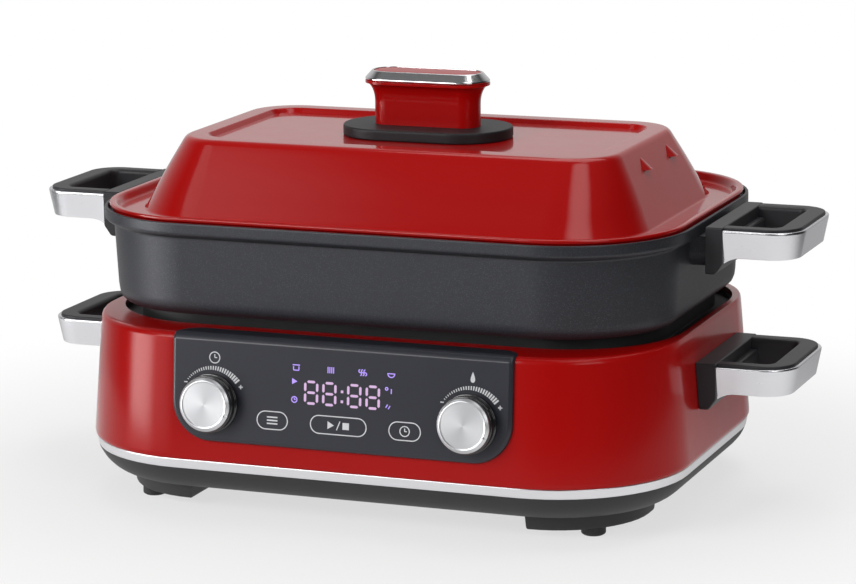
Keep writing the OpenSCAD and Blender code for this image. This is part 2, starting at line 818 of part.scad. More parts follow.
// A cast pad on the pot's end that carries a handle
module handle_boss() {
    low = pot_handle_z - trim_h - bracket_under + boss_rise;
    wall_x = rim_o[0] - rim_step - pot_draft * (rim_low - low) / (rim_low - pot_z) - bite / 2;
    pad_round = 6;
    translate([wall_x, 0, 0]) rotate([90, 0, 90]) linear_extrude(boss_x - wall_x) {
        translate([-boss_half_l, low + pad_round]) square([2 * boss_half_l, rim_low - low - pad_round + bite]);
        translate([pad_round - boss_half_l, low]) square([2 * (boss_half_l - pad_round), pad_round + bite]);
        for (y = [-1, 1]) translate([y * (boss_half_l - pad_round), low + pad_round]) circle(pad_round);
    }
}

// Sweeps a section round the sides and far end of a straight-backed outline that starts at x 0 and reaches
// along x: the section's x runs outwards, and its y is height
module around_loop(reach, half, r) {
    flat = reach - r;
    for (side = [0, 1]) mirror([0, side, 0]) {
        rotate([90, 0, 90]) linear_extrude(flat) translate([half, 0]) children();
        translate([flat, half - r, 0]) rotate_extrude(angle = 90) translate([r, 0]) children();
    }
    rotate([90, 0, 0]) linear_extrude(2 * (half - r), center = true) translate([reach, 0]) children();
}

// Black bracket and loop, with the bracket's inner face given as x at its foot and at its top
module handle_core(start, top, face_low, face_high) {
    high = top + bracket_over;
    low = top - trim_h - bracket_under;
    bar_low = top - trim_h + trim_rise;
    chamfer = 4;
    back = 4;
    edge = 0.8;
    rotate([90, 0, 0]) linear_extrude(2 * handle_half_l, center = true) polygon([
        [face_low, low],
        [start - chamfer, low],
        [start, low + bracket_under],
        [start, high],
        [face_high, high],
    ]);
    translate([start, 0, 0]) {
        around_loop(handle_reach, handle_half_l, handle_r) polygon([
            [-trim_t - trim_lean, bar_low],
            [-trim_t, top],
            [-trim_t, high - edge],
            [-trim_t - edge, high],
            [-arm_w, high],
            [-arm_w, bar_low],
        ]);
        translate([-bite, arm_w - handle_half_l - bite, bar_low])
            cube([back + bite, 2 * (handle_half_l - arm_w + bite), high - bar_low]);
    }
}

// Silver band round a loop, with a curved lip down to its bracket
module handle_trim(start, top) {
    low = top - trim_h;
    bar_low = low + trim_rise;
    lip = 7;
    color(silver) translate([start, 0, 0]) {
        around_loop(handle_reach, handle_half_l, handle_r) polygon([
            [-trim_lean, bar_low],
            [0, top],
            [-trim_t, top],
            [-trim_t - trim_lean, bar_low],
        ]);
        for (side = [0, 1]) mirror([0, side, 0])
            translate([0, handle_half_l - trim_lean, 0]) rotate([90, 0, 0]) linear_extrude(trim_t - slip_gap)
                polygon(concat(
                    [[0, bar_low + bite], [0, low]],
                    arc(lip, low, trim_rise, 180, 90, 6),
                    [[lip, bar_low + bite]]
                ));
    }
}

module pot_handle() color(black) difference() {
    handle_core(pot_handle_x, pot_handle_z, boss_x, boss_x);
    for (y = [-handle_screw_y, handle_screw_y]) translate([boss_x - cut, y, pot_screw_z()]) rotate([0, 90, 0]) {
        cylinder(pot_handle_x, r = bolt_hole);
        translate([0, 0, pot_screw_seat() - boss_x + cut]) cylinder(pot_handle_x, r = 2 * bolt_r + slip_gap);
    }
}

// The plane that the pot handles' screw heads press on
function pot_screw_seat() = pot_handle_x + bite;

module pot_handle_left() at_cooker() mirror([1, 0, 0]) pot_handle();
module pot_handle_right() at_cooker() pot_handle();
module pot_handle_left_trim() at_cooker() mirror([1, 0, 0]) handle_trim(pot_handle_x, pot_handle_z);
module pot_handle_right_trim() at_cooker() handle_trim(pot_handle_x, pot_handle_z);

module pot_handle_screws() color(steel) at_cooker() for (turn = [0, 180], y = [-handle_screw_y, handle_screw_y])
    rotate([0, 0, turn]) translate([pot_screw_seat(), y, pot_screw_z()]) rotate([0, 90, 0])
        screw(bolt_r, 2 * bolt_r, pot_screw_seat() - boss_x + handle_screw_x - tip_gap / 2);

// Body

module housing() color(red) difference() {
    union() {
        at_body() {
            around(shell_o) polygon(concat(
                [[wall_flare - shell_wall, band_top_z]],
                arc(wall_flare - foot_round, band_top_z + foot_round, foot_round, -90, 0, 4),
                [[wall_flare, foot_z]],
                arc(-ledge_round, wall_top_z, ledge_round, 0, 90, 5),
                [
                    [-shell_wall - ledge_round, ledge_z],
                    [-shell_wall - ledge_round, ledge_low],
                    [wall_out(ledge_low) - shell_wall, ledge_low],
                    [wall_flare - shell_wall, foot_z],
                ]
            ));
            slab(grow(shell_o, -shell_wall), ledge_low, ledge_z);
            four(tray_screw_x, tray_screw_y) translate([0, 0, boss_low])
                cylinder(boss_high - boss_low, r = boss_r);
            for (turn = [0, 180]) rotate([0, 0, turn]) {
                boss_rib(tray_screw_turn);
                mirror([0, 1, 0]) boss_rib(tray_screw_turn);
            }
        }
    }
    at_cooker() slab(open_o, ledge_low - cut, ledge_z + cut);
    on_wall(0) {
        translate([-window_half_w, -window_low, -2 * shell_wall])
            cube([2 * window_half_w, window_low + window_high, 3 * shell_wall]);
        for (x = [-panel_screw_x, panel_screw_x], v = panel_screw_v)
            translate([x, v, -2 * shell_wall]) cylinder(3 * shell_wall, r = screw_hole);
    }
    on_wall(180) translate([inlet_x, -inlet_drop, -shell_wall / 2])
        cube([2 * (inlet_half_w + slip_gap), 2 * (inlet_half_h + slip_gap), 3 * shell_wall], center = true);
    at_body() {
        four(tray_screw_x, tray_screw_y) translate([0, 0, boss_low - cut])
            cylinder(tray_screw_l + cut, r = bolt_hole);
    }
    at_cooker() for (turn = [0, 180], y = [-handle_screw_y, handle_screw_y]) rotate([0, 0, turn])
        translate([shell_half_w - 2 * shell_wall, y, body_screw_z()]) rotate([0, 90, 0])
            cylinder(6 * shell_wall, r = bolt_hole);
}

// A web that ties a screw boss to the wall
module boss_rib(turn) {
    web_t = 3;
    web_low = foot_z + 2 * bite;
    web_high = boss_high - 2 * bite;
    reach = shell_r + wall_out(web_high) - shell_wall / 2;
    translate([shell_half_w - shell_r, shell_half_d - shell_r, web_low]) rotate([0, 0, turn])
        translate([tray_screw_reach, -web_t / 2, 0])
            cube([reach - tray_screw_reach, web_t, web_high - web_low]);
}

module trim_band() color(silver) at_body() around(shell_o) polygon([
    [band_in, band_low_z],
    [band_out - band_lean, band_low_z],
    [band_out, band_top_z - band_chamfer],
    [band_out - band_chamfer, band_top_z],
    [band_in, band_top_z],
]);

module base_tray() color(black) at_body() difference() {
    union() {
        around(shell_o) polygon(concat(
            [for (i = [0:8]) let (t = i / 8) [
                tray_out - tray_curve * (1 - (t + sin(90 * t)) / 2),
                tray_z + (band_low_z - tray_z) * (t + 1 - cos(90 * t)) / 2,
            ]],
            [
                [band_in, band_low_z],
                [band_in, band_low_z + tray_lip_h],
                [band_in - tray_wall, band_low_z + tray_lip_h],
                [band_in - tray_wall, band_low_z],
                [tray_out - tray_curve, tray_floor_z],
                [tray_out - tray_curve - 4 * bite, tray_floor_z],
                [tray_out - tray_curve - 4 * bite, tray_z],
            ]
        ));
        slab(grow(tray_floor_o, -2 * bite), tray_z, tray_floor_z);
        intersection() {
            pod_body();
            four(pod_gap_w + shell_half_w / 2, pod_gap_d + shell_half_d / 2) translate([0, 0, pod_z])
                linear_extrude(tray_z - pod_z + bite) square([shell_half_w, shell_half_d], center = true);
        }
        translate([-power_x, 0, 0]) four(power_post_x, power_post_y) translate([0, 0, tray_z])
            cylinder(power_z - tray_z, r = 2.5 * bolt_r);
    }
    four(pad_x, pad_y) translate([0, 0, pod_z - cut]) cylinder(pad_seat + cut, r = pad_r + slip_gap);
    four(tray_screw_x, tray_screw_y) translate([0, 0, pod_z - cut]) {
        cylinder(tray_z + tray_wall, r = bolt_hole);
        cylinder(tray_head_z - pod_z + cut, r = 2 * bolt_r + slip_gap);
    }
    translate([-power_x, 0, 0]) four(power_post_x, power_post_y) translate([0, 0, tray_floor_z])
        cylinder(power_rise + cut, r = screw_hole);
    for (i = [0:vent_count - 1], y = [-1, 1]) {
        x = vent_pitch * (i - (vent_count - 1) / 2) + power_x;
        translate([x - vent_w / 2, y * (vent_l + vent_bar) / 2 - vent_l / 2, tray_z - cut])
            cube([vent_w, vent_l, tray_wall + 2 * cut]);
    }
}

// The slab that the four foot pods are cut from
module pod_body() {
    pod_o = grow(tray_floor_o, -pod_inset);
    inner = 2 * pod_round + bite;
    around(pod_o) polygon(concat(
        [[-inner, pod_z]],
        arc(-pod_round, pod_z + pod_round, pod_round, -90, 0, 4),
        [[pod_lean, tray_z + bite], [-inner, tray_z + bite]]
    ));
    slab(grow(pod_o, bite - inner), pod_z, tray_z + bite);
}

module foot_pads() color(black) at_body() four(pad_x, pad_y) rotate_extrude() polygon([
    [0, 0],
    [pad_r - pad_edge, 0],
    [pad_r, pad_edge],
    [pad_r, pod_z + pad_seat],
    [0, pod_z + pad_seat],
]);

module tray_screws() color(steel) at_body() four(tray_screw_x, tray_screw_y) translate([0, 0, tray_head_z])
    mirror([0, 0, 1]) screw(bolt_r, 2 * bolt_r, tray_screw_l + boss_low - tray_head_z - tip_gap);

// The body's side face at a height
function side_x(z) = shell_half_w + wall_out(z);
function body_screw_z() = body_handle_z - trim_h / 2;

module body_handle() color(black) difference() {
    handle_core(body_handle_x, body_handle_z, side_x(body_handle_z - trim_h - bracket_under),
        side_x(body_handle_z + bracket_over));
    for (y = [-handle_screw_y, handle_screw_y])
        translate([shell_half_w - cut, y, body_screw_z()]) rotate([0, 90, 0])
            cylinder(body_handle_x - shell_half_w + cut + bite, r = bolt_hole);
}

module body_handle_left() at_cooker() mirror([1, 0, 0]) body_handle();
module body_handle_right() at_cooker() body_handle();
module body_handle_left_trim() at_cooker() mirror([1, 0, 0]) handle_trim(body_handle_x, body_handle_z);
module body_handle_right_trim() at_cooker() handle_trim(body_handle_x, body_handle_z);

module body_handle_screws() color(steel) at_cooker() {
    seat = side_x(body_screw_z() + 2 * bolt_r) - shell_wall / cos(wall_slope);
    for (turn = [0, 180], y = [-handle_screw_y, handle_screw_y])
        rotate([0, 0, turn]) translate([seat, y, body_screw_z()]) rotate([0, -90, 0])
            screw(bolt_r, 2 * bolt_r, body_handle_x - seat);
}

// Control panel

// A plate with a straight back and two round far corners, its outer edge rounded over at the top
module edged_plate(reach, half, r, low, high, edge) {
    rim = edge + 2 * bite;
    around_loop(reach, half, r) polygon(concat(
        [[-rim, low], [0, low]],
        arc(-edge, high - edge, edge, 0, 90, 4),
        [[-rim, high]]
    ));
    translate([0, rim - half - bite, low]) cube([reach - r, 2 * (half - rim + bite), high - low]);
    translate([0, r - half - bite, low]) cube([reach - rim + bite, 2 * (half - r + bite), high - low]);
    for (side = [-1, 1]) translate([reach - r, side * (half - r), low])
        cylinder(high - low, r = r - rim + bite);
}

module control_panel() color(slate) difference() {
    face_high = (ledge_z + panel_top_t - control_z) / cos(wall_slope) - panel_proud * tan(wall_slope);
    union() {
        on_wall(0) {
            translate([0, face_high, 0]) rotate([0, 0, -90])
                edged_plate(face_high + panel_low, panel_half_w, panel_r, 0, panel_proud, panel_edge);
            for (x = [-board_post_x, board_post_x], v = board_post_v)
                translate([x, v, -board_depth]) cylinder(board_depth + bite, r = board_post_r);
        }
        at_body() translate([0, -shell_half_d, ledge_z]) rotate([0, 0, 90])
            edged_plate(panel_top_d, panel_half_w, panel_top_r, 0, panel_top_t, panel_top_t / 2);
    }
    on_wall(0) {
        for (x = [-knob_x, knob_x])
            translate([x, 0, -cut]) cylinder(panel_proud + 2 * cut, r = shaft_r + shaft_window);
        for (x = [-panel_screw_x, panel_screw_x], v = panel_screw_v)
            translate([x, v, -cut]) cylinder(panel_proud - panel_skin + cut, r = screw_hole);
        for (x = [-board_post_x, board_post_x], v = board_post_v)
            translate([x, v, -board_depth - cut]) cylinder(board_depth, r = screw_hole);
    }
}

module panel_screws() color(steel) on_wall(0) for (x = [-panel_screw_x, panel_screw_x], v = panel_screw_v)
    translate([x, v, -shell_wall]) mirror([0, 0, 1])
        screw(screw_r, 2 * screw_r, shell_wall + panel_proud - panel_skin - slip_gap);

module control_board() color(green) on_wall(0) difference() {
    translate([board_gap - window_half_w, board_gap - window_low, -board_depth - board_t])
        cube([2 * (window_half_w - board_gap), window_low + window_high - 2 * board_gap, board_t]);
    for (x = [-board_post_x, board_post_x], v = board_post_v)
        translate([x, v, -board_depth - board_t - cut]) cylinder(board_t + 2 * cut, r = screw_hole);
}

module board_screws() color(steel) on_wall(0) for (x = [-board_post_x, board_post_x], v = board_post_v)
    translate([x, v, -board_depth - board_t]) mirror([0, 0, 1])
        screw(screw_r, 2 * screw_r, board_t + board_depth - cut - tip_gap);

module display_module() color(black) on_wall(0)
    translate([-display_half_w, display_v - display_h / 2, -board_depth])
        cube([2 * display_half_w, display_h, board_depth]);

module touch_springs() color(brass) on_wall(0) for (x = [-key_x, 0, key_x])
    translate([x, -key_low, -board_depth]) difference() {
        cylinder(board_depth, r = touch_r);
        translate([0, 0, -touch_wall]) cylinder(board_depth, r = touch_r - touch_wall);
    }

module encoder(x) color(steel) on_wall(0) translate([x, 0, 0]) difference() {
    union() {
        translate([-encoder_half, -encoder_half, -board_depth])
            cube([2 * encoder_half, 2 * encoder_half, encoder_h]);
        translate([0, 0, encoder_top - bite]) cylinder(bite - encoder_top, r = shaft_r + bushing_wall);
    }
    translate([0, 0, shaft_low - rest_gap]) cylinder(board_depth, r = shaft_r + shaft_gap);
}

module encoder_left() encoder(-knob_x);
module encoder_right() encoder(knob_x);

module knob_body(x) color(black) on_wall(0) translate([x, 0, 0]) difference() {
    rotate_extrude() polygon([
        [0, knob_low],
        [knob_r, knob_low],
        [knob_r, knob_top - knob_edge],
        [knob_r - knob_edge, knob_top],
        [0, knob_top],
    ]);
    translate([0, 0, knob_low - cut]) cylinder(shaft_top - knob_low + cut + slip_gap, r = shaft_r + shaft_gap);
}

module knob_cap(x) color(silver) on_wall(0) translate([x, 0, 0]) difference() {
    rotate_extrude() polygon([
        [0, knob_top],
        [knob_cap_r, knob_top],
        [knob_cap_r, knob_top + knob_cap_t - cap_edge],
        [knob_cap_r - cap_edge, knob_top + knob_cap_t],
        [0, knob_top + knob_cap_t],
    ]);
    translate([0, 0, knob_top + knob_cap_t - notch_w / 2]) rotate([0, 0, notch_turn])
        translate([knob_cap_r - notch_l, -notch_w / 2, 0]) cube([2 * notch_l, notch_w, notch_w]);
}

module knob_shaft(x) color(steel) on_wall(0)
    translate([x, 0, shaft_low]) cylinder(shaft_top - shaft_low, r = shaft_r);

module knob_left() knob_body(-knob_x);
module knob_left_cap() knob_cap(-knob_x);
module knob_left_shaft() knob_shaft(-knob_x);
module knob_right() knob_body(knob_x);
module knob_right_cap() knob_cap(knob_x);
module knob_right_shaft() knob_shaft(knob_x);

// Well and heater

module well_ring() color(black) at_cooker() around(open_o) polygon([
    [well_flange, ledge_low],
    [0, ledge_low],
    [0, shelf_z],
    [-shelf_w, shelf_z],
    [-shelf_w, collar_top],
    [-shelf_w - well_wall, collar_top],
    [-shelf_w - well_wall, shelf_low - well_skirt],
    [-shelf_w, shelf_low - well_skirt],
    [-shelf_w, shelf_low],
    [well_flange, shelf_low],
]);

module reflector_tray() color(steel) at_cooker() {
    wall_in = slip_gap - shelf_w;
    wall_face = wall_in + sheet_t;
    reflector_lap = 10;
    difference() {
        union() {
            around(open_o) polygon([
                [0, shelf_low],
                [0, shelf_low - sheet_t],
                [wall_face, shelf_low - sheet_t],
                [wall_face, reflector_z],
                [wall_face - 2 * reflector_lap, reflector_z],
                [wall_face - 2 * reflector_lap, floor_top],
                [wall_in, floor_top],
                [wall_in, shelf_low],
            ]);
            slab(grow(open_o, wall_face - reflector_lap), reflector_z, floor_top);
        }
        translate([0, 0, reflector_z - cut]) {
            cylinder(sheet_t + 2 * cut, r = stem_r + stem_room);
            four(post_x, post_y) cylinder(sheet_t + 2 * cut, r = bolt_hole);
            for (x = [-terminal_mid, terminal_mid]) translate([x, element_half_d, 0])
                cylinder(sheet_t + 2 * cut, r = terminal_r + terminal_room);
        }
    }
}

module element_loop(r) {
    around(element_o) circle(r);
}

module heating_plate() color(slate) at_cooker() difference() {
    slab(plate_o, plate_low, plate_top);
    translate([0, 0, plate_low - cut]) cylinder(plate_t + 2 * cut, r = sensor_r + sensor_gap);
    translate([0, 0, element_z]) element_loop(element_r + slip_gap);
    four(post_x, post_y) translate([0, 0, plate_low - cut]) cylinder(plate_t / 2 + cut, r = bolt_hole);
}

module heating_element() color(steel) at_cooker() {
    difference() {
        translate([0, 0, element_z]) element_loop(element_r);
        translate([-terminal_x, 0, element_z - 2 * element_r])
            cube([2 * terminal_x, 2 * element_half_d, 4 * element_r]);
    }
    for (x = [-terminal_mid, terminal_mid]) translate([x, element_half_d, element_z - terminal_l])
        cylinder(terminal_l, r = terminal_r);
}

module plate_posts() color(steel) at_cooker() four(post_x, post_y) translate([0, 0, floor_top]) difference() {
    cylinder(plate_low - floor_top, r = post_r);
    translate([0, 0, -cut]) cylinder(plate_low - floor_top + 2 * cut, r = bolt_hole);
}

module post_screws() color(steel) at_cooker() four(post_x, post_y) translate([0, 0, reflector_z])
    mirror([0, 0, 1]) screw(bolt_r, 2 * bolt_r, plate_low + plate_t / 2 - tip_gap / 4 - reflector_z);

module cutout_thermostat() color(black) at_cooker() translate([cutout_x, 0, plate_low - cutout_h]) {
    cylinder(cutout_h, r = cutout_r);
    for (y = [-1, 1]) translate([-tab_w / 2, y * cutout_r / 2 - tab_t / 2, -tab_l])
        cube([tab_w, tab_t, tab_l + bite]);
}

module thermal_fuse() color(silver) at_cooker()
    translate([-cutout_x, 0, plate_low - fuse_r - slip_gap]) rotate([90, 0, 0]) {
        cylinder(fuse_l, r = fuse_r, center = true);
        cylinder(2 * fuse_l, r = fuse_lead_r, center = true);
    }

// Spring-loaded sensor

module sensor_plunger() color(silver) at_cooker() difference() {
    union() {
        translate([0, 0, cap_low]) cylinder(sensor_t, r = sensor_r);
        translate([0, 0, stem_low]) cylinder(cap_low - stem_low + bite, r = stem_r);
    }
    translate([0, 0, reflector_z - clip_drop - clip_t]) rotate_extrude()
        translate([stem_r - clip_groove, 0]) square([stem_r, clip_t]);
}

module sensor_clip() color(steel) at_cooker() translate([0, 0, reflector_z - clip_drop - clip_t]) difference() {
    cylinder(clip_t, r = stem_r + clip_out);
    translate([0, 0, -cut]) cylinder(clip_t + 2 * cut, r = stem_r - clip_groove);
}

// One round wire along a helix
module sensor_spring() color(steel) at_cooker() {
    turn_steps = 14;
    steps = turn_steps * coil_turns;
    sides = 6;
    rise = (spring_high - spring_low) / steps;
    tube([
        for (i = [0:steps]) let (t = 360 * i / turn_steps) [
            for (k = [0:sides - 1]) let (s = -360 * k / sides, reach = coil_r + wire_r * cos(s))
                [reach * cos(t), reach * sin(t), spring_low + rise * i + wire_r * sin(s)]
        ]
    ]);
}

module sensor_guide() color(steel) at_cooker() translate([0, 0, floor_top]) difference() {
    union() {
        cylinder(guide_flange_t, r = guide_flange_r);
        cylinder(guide_h, r = guide_r);
    }
    translate([0, 0, -cut]) cylinder(guide_h + 2 * cut, r = stem_r + stem_gap);
}

// Power parts

module at_power() at_body() translate([-power_x, 0, power_top]) children();

module power_board() color(green) at_power() difference() {
    translate([-power_half_w, -power_half_d, -board_t]) cube([2 * power_half_w, 2 * power_half_d, board_t]);
    four(power_post_x, power_post_y) translate([0, 0, -board_t - cut])
        cylinder(board_t + 2 * cut, r = screw_hole);
}

module power_board_screws() color(steel) at_power() four(power_post_x, power_post_y)
    screw(screw_r, 2 * screw_r, board_t + power_rise - tip_gap);

// Components on the board: the relay stands at the right, the transformer at the left
component_gap = 8;

module relay() color([0.1, 0.2, 0.45]) at_power()
    translate([power_half_w - relay_w - component_gap, component_gap / 2, 0]) cube([relay_w, relay_d, relay_h]);

module transformer() color(copper) at_power() translate([-core_w, -core_d / 2, 0]) {
    cube([core_w, core_d, core_yoke]);
    translate([coil_inset, coil_inset, core_yoke])
        cube([core_w - 2 * coil_inset, core_d - 2 * coil_inset, coil_h]);
    translate([0, 0, core_yoke + coil_h]) cube([core_w, core_d, core_yoke]);
}

module filter_capacitor() color([0.5, 0.4, 0.15]) at_power()
    translate([component_gap, -component_gap - filter_d, 0]) cube([filter_w, filter_d, filter_h]);

module power_inlet() color(black) on_wall(180) translate([inlet_x, -inlet_drop, 0]) difference() {
    union() {
        translate([-inlet_half_w, -inlet_half_h, -inlet_d])
            cube([2 * inlet_half_w, 2 * inlet_half_h, inlet_d + inlet_flange_t]);
        translate([-inlet_half_w - inlet_flange, -inlet_half_h - inlet_flange, 0])
            cube([2 * (inlet_half_w + inlet_flange), 2 * (inlet_half_h + inlet_flange), inlet_flange_t]);
    }
    translate([inlet_wall - inlet_half_w, inlet_wall - inlet_half_h, inlet_flange_t - socket_d])
        cube([2 * (inlet_half_w - inlet_wall), 2 * (inlet_half_h - inlet_wall), socket_d + cut]);
    for (p = pin_places()) translate([p[0] - pin_w / 2, p[1] - pin_h / 2, -inlet_d - cut])
        cube([pin_w, pin_h, inlet_d]);
}

// Two contacts low and the earth between them, higher
function pin_places() = [for (i = [-1:1]) [pin_pitch * i, i == 0 ? pin_h / 2 : -pin_h / 2]];

module inlet_pins() color(brass) on_wall(180) translate([inlet_x, -inlet_drop, 0]) for (p = pin_places())
    translate([p[0] - pin_w / 2, p[1] - pin_h / 2, -inlet_d - pin_tail])
        cube([pin_w, pin_h, inlet_d + pin_tail - pin_h]);

// A point behind the back wall, in the object's frame
function behind(x, v, w) = [
    -x,
    body_y + front_y - v * sin(wall_slope) + w * cos(wall_slope),
    control_z + v * cos(wall_slope) + w * sin(wall_slope)
];

module mains_leads() color([0.3, 0.18, 0.1]) {
    bow = 4 * lead_r;
    for (p = pin_places()) let (
        start = behind(inlet_x + p[0], p[1] - inlet_drop, -inlet_d - pin_tail),
        low = power_top + 2 * bow + p[0] / 4,
        land = [-p[0] - power_x, body_y + power_half_d - power_edge, power_top + lead_r]
    ) wire([
        start + [0, -lead_r, 0],
        start + [0, -1.5 * bow, -bow / 2],
        [start[0], start[1] - 2.5 * bow, low],
        [land[0], land[1] + 2 * bow, low],
        land + [0, bow / 2, bow],
        land,
    ], lead_r);
}

module heater_leads() color([0.75, 0.72, 0.65]) {
    bow = 4 * lead_r;
    for (x = [-1, 1]) let (
        start = [x * terminal_mid, cook_y + element_half_d, element_z - terminal_l],
        land_x = power_half_w - power_x - component_gap,
        land = [land_x, body_y + component_gap - x * terminal_x, power_top + lead_r]
    ) wire([
        start - [0, 0, lead_r],
        start - [0, bow / 2, 1.5 * bow],
        start - [0, 2 * bow, 2 * bow],
        [land[0] + 2.5 * bow, land[1] + 2 * bow, power_top + 3 * bow],
        land + [bow, bow / 2, 1.5 * bow],
        land,
    ], lead_r);
}

// A flat ribbon from the control board's back down to the tray, and up to a plug on the power board
module control_ribbon() color([0.55, 0.55, 0.58]) at_body() translate([-power_x - ribbon_half, 0, 0]) {
    w = 2 * ribbon_half;
    plug = 4;
    high = control_z - window_low + plug;
    back = (board_depth + board_t) / cos(wall_slope) - front_y;
    start = back + (high + ribbon_t - control_z) * tan(wall_slope) + slip_gap / 2;
    fall = start + plug;
    low = tray_floor_z + 2 * ribbon_t;
    edge = plug - power_half_d;
    rise = edge - 2 * plug;
    translate([0, start, high]) cube([w, plug + ribbon_t, ribbon_t]);
    translate([0, fall, low]) cube([w, ribbon_t, high - low + ribbon_t]);
    translate([0, fall, low]) cube([w, rise - fall + ribbon_t, ribbon_t]);
    translate([0, rise, low]) cube([w, ribbon_t, power_top + plug - low]);
    translate([0, rise, power_top + plug - ribbon_t]) cube([w, edge - rise + bite, ribbon_t]);
    translate([0, edge, power_top]) cube([w, plug, plug]);
}

lid_shell();
lid_knob_foot();
lid_knob_grip();
lid_knob_ring();
lid_knob_inlay();
lid_knob_screws();
pot();
pot_handle_left();
pot_handle_right();
pot_handle_left_trim();
pot_handle_right_trim();
pot_handle_screws();
housing();
trim_band();
base_tray();
foot_pads();
tray_screws();
body_handle_left();
body_handle_right();
body_handle_left_trim();
body_handle_right_trim();
body_handle_screws();
control_panel();
panel_screws();
control_board();
board_screws();
display_module();
touch_springs();
encoder_left();
encoder_right();
knob_left();
knob_left_cap();
knob_left_shaft();
knob_right();
knob_right_cap();
knob_right_shaft();
well_ring();
reflector_tray();
heating_plate();
heating_element();
plate_posts();
post_screws();
cutout_thermostat();
thermal_fuse();
sensor_plunger();
sensor_clip();
sensor_spring();
sensor_guide();
power_board();
power_board_screws();
relay();
transformer();
filter_capacitor();
power_inlet();
inlet_pins();
mains_leads();
heater_leads();
control_ribbon();
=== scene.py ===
from contextlib import contextmanager
from math import atan, cos, pi, radians, sin, tan
import bmesh
import bpy
import numpy as np
from mathutils import Matrix, Vector


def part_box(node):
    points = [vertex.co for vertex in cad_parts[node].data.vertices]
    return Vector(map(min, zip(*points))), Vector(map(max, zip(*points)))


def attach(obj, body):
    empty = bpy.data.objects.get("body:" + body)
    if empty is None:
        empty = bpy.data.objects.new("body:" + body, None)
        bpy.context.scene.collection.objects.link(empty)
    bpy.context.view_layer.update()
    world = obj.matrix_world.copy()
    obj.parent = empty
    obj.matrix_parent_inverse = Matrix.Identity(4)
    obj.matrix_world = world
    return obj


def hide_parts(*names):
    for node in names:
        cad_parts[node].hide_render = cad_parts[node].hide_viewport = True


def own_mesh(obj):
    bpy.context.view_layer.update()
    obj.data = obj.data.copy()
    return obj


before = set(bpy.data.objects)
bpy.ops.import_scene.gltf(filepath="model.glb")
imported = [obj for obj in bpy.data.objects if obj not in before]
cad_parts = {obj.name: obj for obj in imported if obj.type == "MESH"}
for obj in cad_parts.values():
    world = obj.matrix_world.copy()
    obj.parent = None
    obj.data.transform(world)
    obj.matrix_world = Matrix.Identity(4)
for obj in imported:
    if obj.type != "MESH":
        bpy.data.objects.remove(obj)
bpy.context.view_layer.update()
mm = 0.001

# The shell's leaning wall: its front at the controls' height, and how far the panel stands out of it
wall = {"slope": atan(5.5 / 61.1), "frontY": -117.235, "controlZ": 64.0, "proud": 2.9}
bodyY, cookY = [sum(c.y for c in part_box(node)) / 2 / mm for node in ("trim_band", "lid_shell")]


# Shader sums written as Python

def sums(operation, swapped=False):
    return lambda value, other: value.math(operation, other, swapped)


class Value:
    def __init__(self, paint, socket):
        self.paint = paint
        self.socket = socket

    def math(self, operation, other=None, swapped=False):
        pair = [self] if other is None else [other, self] if swapped else [self, other]
        return self.paint.node("ShaderNodeMath", {"operation": operation}, dict(enumerate(pair)))

    __add__ = __radd__ = sums("ADD")
    __sub__ = sums("SUBTRACT")
    __rsub__ = sums("SUBTRACT", True)
    __mul__ = __rmul__ = sums("MULTIPLY")
    __pow__ = sums("POWER")
    __gt__ = sums("GREATER_THAN")


class Nodes:
    def __init__(self, tree):
        self.tree = tree

    def node(self, kind, settings, inputs, output=0):
        made = self.tree.nodes.new(kind)
        for key, value in settings.items():
            setattr(made, key, value)
        for key, value in inputs.items():
            self.feed(made.inputs[key], value)
        return Value(self, made.outputs[output])

    def feed(self, socket, value):
        if isinstance(value, Value):
            self.tree.links.new(value.socket, socket)
        else:
            socket.default_value = value


class Paint(Nodes):
    def __init__(self, name, **fixed):
        self.material = bpy.data.materials.new(name)
        self.material.use_nodes = True
        super().__init__(self.material.node_tree)
        self.shader = self.tree.nodes["Principled BSDF"]
        for socket, value in fixed.items():
            self.shader.inputs[socket.replace("_", " ")].default_value = value

    def set(self, socket, value):
        self.feed(self.shader.inputs[socket], value)

    def place(self, stretch=(1, 1, 1), centre=(0, 0, 0), turn=(0, 0, 0)):
        spot = self.node("ShaderNodeTexCoord", {}, {}, "Object")
        moved = self.node("ShaderNodeVectorMath", {"operation": "SUBTRACT"}, {0: spot, 1: centre})
        turned = {"Vector": moved, "Rotation": turn, "Scale": stretch}
        return self.node("ShaderNodeMapping", {}, turned)

    def noise(self, scale, detail=2.0, where=None):
        sizes = {"Vector": where or self.place(), "Scale": scale, "Detail": detail}
        return self.node("ShaderNodeTexNoise", {}, sizes)

    def cells(self, scale):
        colour = self.node("ShaderNodeTexVoronoi", {}, {"Vector": self.place(), "Scale": scale}, "Color")
        return self.node("ShaderNodeSeparateColor", {}, {0: colour})

    def mix(self, share, one, two):
        ends = [c if isinstance(c, Value) else (*c, 1) for c in (one, two)]
        return self.node("ShaderNodeMix", {"data_type": "RGBA"}, {0: share, 6: ends[0], 7: ends[1]}, 2)

    def tint(self, share, colour, low, high, socket="Base Color"):
        ends = [[c * level for c in colour] for level in (low, high)]
        self.set(socket, self.mix(share, *ends))

    def bump(self, height, depth, strength):
        sizes = {"Strength": strength, "Distance": depth * mm, "Height": height}
        self.set("Normal", self.node("ShaderNodeBump", {}, sizes))


# A coloured coat under a clear one
def redEnamel(name, coatRough, coatBend):
    colour = (0.43, 0.0026, 0.0022)
    paint = Paint(name, Coat_Weight=1.0, Coat_Roughness=coatRough, Coat_IOR=coatBend, Specular_IOR_Level=0.05)
    paint.tint(paint.noise(9.0, 3.0), colour, 0.9, 1.08)
    paint.set("Roughness", 0.3 + 0.08 * paint.noise(60.0))
    paint.bump(paint.noise(700.0), 0.02, 0.25)
    return paint.material


